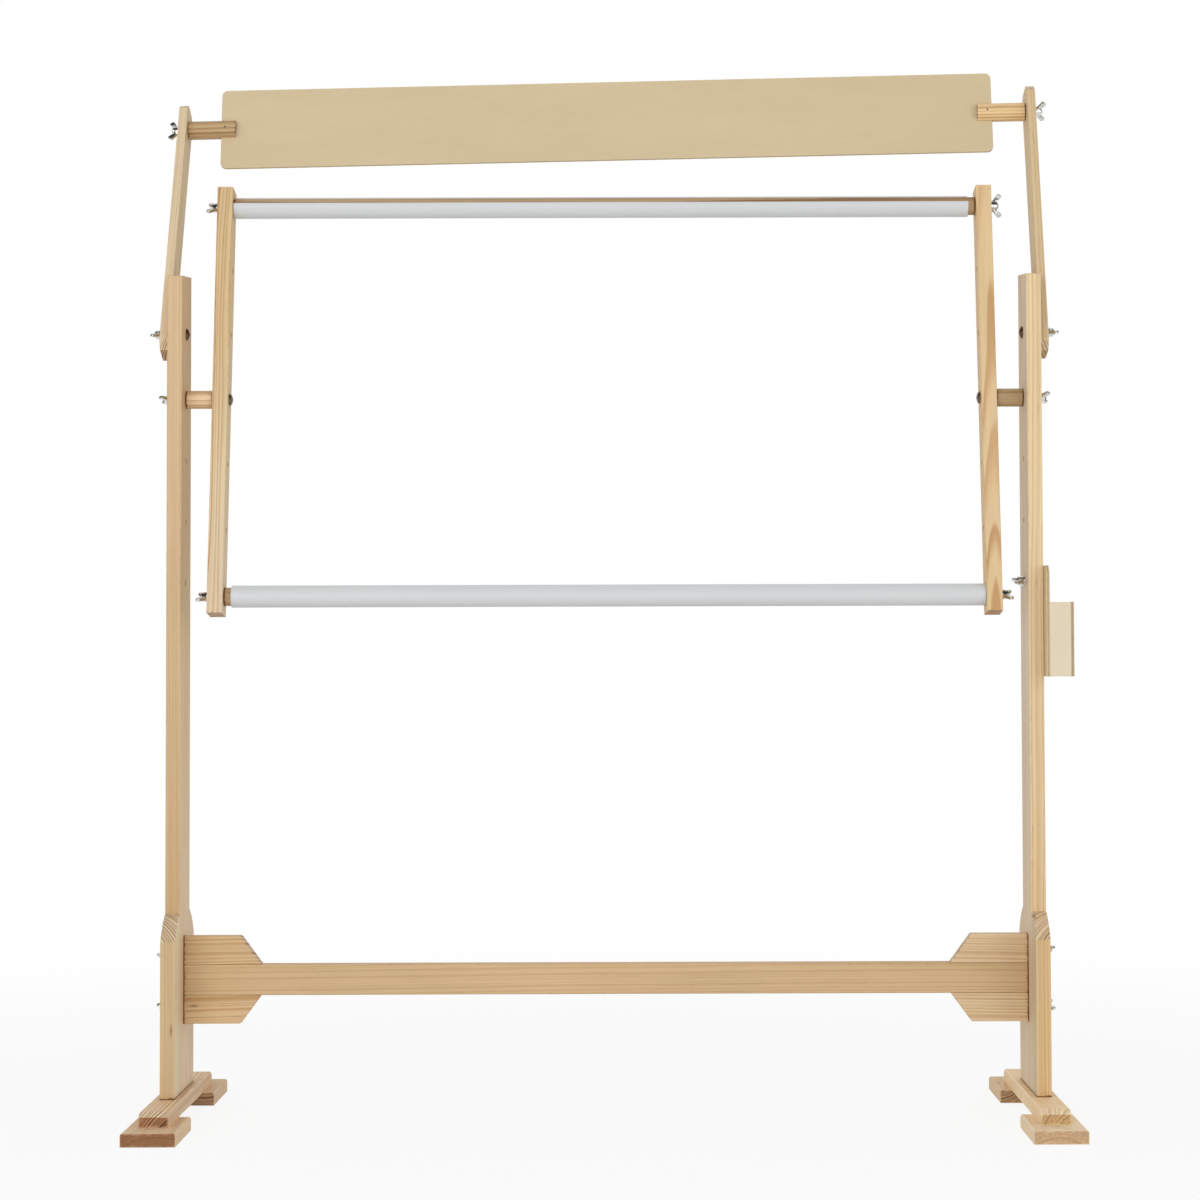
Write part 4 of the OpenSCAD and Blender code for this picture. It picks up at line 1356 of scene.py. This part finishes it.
class STAND_OT_pattern_board(bpy.types.Operator):
    """The plywood pattern board and the slotted dowels that hold it"""

    bl_idname = "floor_stand.pattern_board"
    bl_label = "Pattern Board"
    bl_options = {"REGISTER", "UNDO"}

    def execute(self, context):
        timber, fittings, _ = settings_of(context)
        made = merged_copy("pattern_board")
        face = max(made.faces, key=lambda item: item.calc_area()).normal.copy()
        made.free()
        plank = Plank("pattern_board", BOARD_LINE, face)
        board_piece(
            "pattern_board", plywood_material("pattern_board_ply", plank, timber, 61.2), 0.5 * MM
        )
        for node, seed, tint in (
            ("left_board_dowel", 62.8, (0.86, 0.86, 0.8)),
            ("right_board_dowel", 63.3, (1.34, 1.38, 1.34)),
        ):
            plank = Plank(node, BOARD_LINE, FRONT)
            material = timber_material(
                f"{node}_pine", plank, timber.dowel, timber.dowel_line, timber,
                pith=(15, 8), seed=seed, wear_and_highlight=0, tint=tint, spacing=0.8, strength=1.2,
            )
            board_piece(node, material, timber.easing * 0.6)
        pins = frame["nodes"]["board_pins"]
        pins.data.materials.clear()
        pins.data.materials.append(plated_material("dark_steel", fittings.nail, 0.35))
        return {"FINISHED"}


class STAND_OT_tool_box(bpy.types.Operator):
    """The plywood tool box on the right upright, with its nails"""

    bl_idname = "floor_stand.tool_box"
    bl_label = "Tool Box"
    bl_options = {"REGISTER", "UNDO"}

    def execute(self, context):
        timber, fittings, _ = settings_of(context)
        for node, along, out, seed, tint in (
            ("box_back", UP, X, 71.4, (1, 0.99, 1)),
            ("box_front_wall", UP, FRONT, 72.9, (1.16, 1.24, 1.46)),
            ("box_rear_wall", UP, FRONT, 73.5, (1.06, 1.1, 1.2)),
            ("box_side", UP, X, 74.2, (0.86, 0.84, 0.92)),
            ("box_floor", Y, UP, 75.8, (1, 1, 1)),
        ):
            plank = Plank(node, along, out)
            material = plywood_material(f"{node}_ply", plank, timber, seed, tint)
            board_piece(node, material, 0.35 * MM)
        nails = frame["nodes"]["box_nails"]
        nails.data.materials.clear()
        nails.data.materials.append(plated_material("dark_steel", fittings.nail, 0.35))
        return {"FINISHED"}


class STAND_OT_bolts(bpy.types.Operator):
    """Domed bolts with hexagon sockets, and the threaded studs"""

    bl_idname = "floor_stand.bolts"
    bl_label = "Bolts and Studs"
    bl_options = {"REGISTER", "UNDO"}

    def execute(self, context):
        _, fittings, _ = settings_of(context)
        zinc = plated_material("bright_zinc", fittings.zinc, fittings.zinc_roughness)
        bronze = plated_material("dark_plating", fittings.bronze, fittings.zinc_roughness)
        for node in ("frame_pivot_bolts", "arm_pivot_bolts", "box_bolt"):
            shapes = [bolt_shape(Rod(points, X), fittings) for points in islands(node)]
            finish_piece(
                f"{node}_turned", join_shapes(shapes), BODY_OF[node], bronze,
                stands_for=node,
            )
        for node, axis in (
            ("crossbar_studs", X),
            ("top_roller_studs", X),
            ("bottom_roller_studs", X),
            ("board_studs", BOARD_LINE),
        ):
            shapes = []
            for points in islands(node):
                rod = Rod(points, axis)
                middle = rod.start + rod.way * rod.length / 2
                outward = axis if middle.x > 0 else -axis
                shapes.append(stud_shape(rod, fittings, outward))
            finish_piece(
                f"{node}_turned", join_shapes(shapes), BODY_OF[node], zinc,
                stands_for=node,
            )
        return {"FINISHED"}


class STAND_OT_wing_nuts(bpy.types.Operator):
    """The cast wing nuts, each on its own stud"""

    bl_idname = "floor_stand.wing_nuts"
    bl_label = "Wing Nuts"
    bl_options = {"REGISTER", "UNDO"}

    def execute(self, context):
        _, fittings, _ = settings_of(context)
        zinc = plated_material("bright_zinc", fittings.zinc, fittings.zinc_roughness)
        for node in WING_NUTS:
            seat = NutSeat(node)
            made = wing_nut_shape(
                fittings.wing_thickness, seat.span, seat.height,
                fittings.hub_radius, fittings.hub_height, 3.1 * MM,
            )
            bmesh.ops.transform(made, matrix=seat.matrix(), verts=made.verts)
            bmesh.ops.recalc_face_normals(made, faces=made.faces)
            piece = finish_piece(
                f"{node}_cast", made, BODY_OF[node], zinc,
                stands_for=node, weighted=False,
            )
            smooth = piece.modifiers.new("cast_surface", "SUBSURF")
            smooth.levels = 2
            smooth.render_levels = 2
        return {"FINISHED"}


class STAND_OT_studio(bpy.types.Operator):
    """The paper floor, soft lights, white surroundings and the camera"""

    bl_idname = "floor_stand.studio"
    bl_label = "Studio"
    bl_options = {"REGISTER", "UNDO"}

    def execute(self, context):
        _, _, studio = settings_of(context)
        self.lay_floor(studio)
        self.light(studio)
        self.surround(context.scene, studio)
        self.set_camera(context.scene, studio)
        context.scene.view_settings.view_transform = "Standard"
        return {"FINISHED"}

    def lay_floor(self, studio):
        made = bmesh.new()
        bmesh.ops.create_circle(made, cap_ends=True, segments=96, radius=studio.floor_radius)
        mesh = bpy.data.meshes.new("paper_floor")
        made.to_mesh(mesh)
        made.free()
        floor = bpy.data.objects.new("paper_floor", mesh)
        bpy.context.scene.collection.objects.link(floor)
        material, w, shader = blank_material("paper")
        tree = w.tree
        place = w.add("TexCoord").outputs["Object"]
        tooth = w.noise(w.scaled(place, 900.0), 2.0, 0.6)
        add_relief(w, shader, tooth, 0.05, 0.0002)
        colour = w.mix(w.ramp(tooth, 0.3, 0.7, 0.0, 0.05), studio.floor, (0.7, 0.7, 0.7))
        tree.links.new(colour, shader.inputs["Base Color"])
        shader.inputs["Roughness"].default_value = 0.9
        shader.inputs["Specular IOR Level"].default_value = 0.0
        distance = w.vector("LENGTH", place, output=1)
        seen = w.add("LightPath").outputs
        direct = w.maths("MAXIMUM", seen["Is Camera Ray"], seen["Is Glossy Ray"])
        direct = w.maths("MAXIMUM", direct, seen["Is Transmission Ray"])
        glow = w.add("Emission", {"Color": (1, 1, 1, 1), "Strength": 1.0}).outputs[0]
        lift = w.ramp(distance, 0.7, 2.2, 0.88, 1.0)
        blend = w.add("MixShader", {0: w.maths("MULTIPLY", direct, lift)})
        tree.links.new(shader.outputs[0], blend.inputs[1])
        tree.links.new(glow, blend.inputs[2])
        tree.links.new(blend.outputs[0], tree.nodes["Material Output"].inputs["Surface"])
        mesh.materials.append(material)

    def light(self, studio):
        for name, power, size, place, aim in (
            ("key_light", studio.key_light, 2.2, (-1.5, -3.4, 1.3), (0, 0, 0.6)),
            ("fill_light", studio.fill_light, 2.4, (2.6, -2.8, 1.2), (0, 0, 0.6)),
        ):
            lamp = bpy.data.lights.new(name, "AREA")
            lamp.shape = "SQUARE"
            lamp.size = size
            lamp.energy = power
            holder = bpy.data.objects.new(name, lamp)
            bpy.context.scene.collection.objects.link(holder)
            away = Vector(place) - Vector(aim)
            holder.matrix_world = (
                Matrix.Translation(place) @ away.to_track_quat("Z", "Y").to_matrix().to_4x4()
            )

    def surround(self, scene, studio):
        world = bpy.data.worlds.new("white_studio")
        world.use_nodes = True
        tree = world.node_tree
        w = Wiring(tree)
        shader = tree.nodes["Background"]
        towards = w.add("SeparateXYZ", {0: w.add("TexCoord").outputs["Generated"]}).outputs
        seen = w.add("LightPath").outputs
        above = w.ramp(towards[2], 0.1, 0.9, studio.ambient, studio.ambient * studio.dim_above)
        softbox = w.ramp(towards[1], -0.94, -0.74, 1.0, studio.dark_sides)
        backdrop = w.ramp(towards[1], -0.05, 0.35)
        mirrored = w.maths("MAXIMUM", softbox, backdrop)
        strength = w.add("Mix", {0: seen["Is Glossy Ray"], 2: above, 3: mirrored},
                         data_type="FLOAT").outputs[0]
        direct = w.maths("MAXIMUM", seen["Is Camera Ray"], seen["Is Transmission Ray"])
        strength = w.add("Mix", {0: direct, 2: strength, 3: 1.0}, data_type="FLOAT").outputs[0]
        tone = w.mix(w.maths("MAXIMUM", direct, seen["Is Glossy Ray"]), studio.shade, (1, 1, 1))
        tree.links.new(tone, shader.inputs["Color"])
        tree.links.new(strength, shader.inputs["Strength"])
        scene.world = world

    def set_camera(self, scene, studio):
        lens = bpy.data.cameras.new("camera")
        holder = bpy.data.objects.new("camera", lens)
        scene.collection.objects.link(holder)
        lens.sensor_width = 36
        lens.lens = studio.lens
        lens.shift_x = -0.0338
        lens.shift_y = -0.05
        lens.clip_end = 60
        pitch, roll, yaw = studio.camera_turn
        holder.matrix_world = (
            Matrix.Translation(studio.camera_place)
            @ Matrix.Rotation(yaw, 4, "Z")
            @ Matrix.Rotation(pitch, 4, "X")
            @ Matrix.Rotation(roll, 4, "Z")
        )
        scene.camera = holder


MAKERS = (
    STAND_OT_feet,
    STAND_OT_uprights,
    STAND_OT_crossbar,
    STAND_OT_roller_frame,
    STAND_OT_rollers,
    STAND_OT_pattern_arms,
    STAND_OT_pattern_board,
    STAND_OT_tool_box,
    STAND_OT_bolts,
    STAND_OT_wing_nuts,
    STAND_OT_studio,
)


class STAND_PT_sidebar(bpy.types.Panel):
    """Makes and colours the floor stand piece by piece"""

    bl_idname = "STAND_PT_sidebar"
    bl_label = "Floor Stand"
    bl_space_type = "VIEW_3D"
    bl_region_type = "UI"
    bl_category = "Floor Stand"

    def draw(self, context):
        layout = self.layout
        for maker in MAKERS:
            layout.operator(maker.bl_idname)
        for group in settings_of(context):
            box = layout.box()
            for name in group.__annotations__:
                box.prop(group, name)


CLASSES = (TimberSettings, FittingSettings, StudioSettings, *MAKERS, STAND_PT_sidebar)


def register():
    for made in CLASSES:
        bpy.utils.register_class(made)
    bpy.types.Scene.stand_timber = PointerProperty(type=TimberSettings)
    bpy.types.Scene.stand_fittings = PointerProperty(type=FittingSettings)
    bpy.types.Scene.stand_studio = PointerProperty(type=StudioSettings)


def unregister():
    del bpy.types.Scene.stand_studio
    del bpy.types.Scene.stand_fittings
    del bpy.types.Scene.stand_timber
    for made in reversed(CLASSES):
        bpy.utils.unregister_class(made)


def main():
    register()
    for maker in MAKERS:
        section, name = maker.bl_idname.split(".")
        getattr(getattr(bpy.ops, section), name)()


if __name__ == "__main__":
    main()
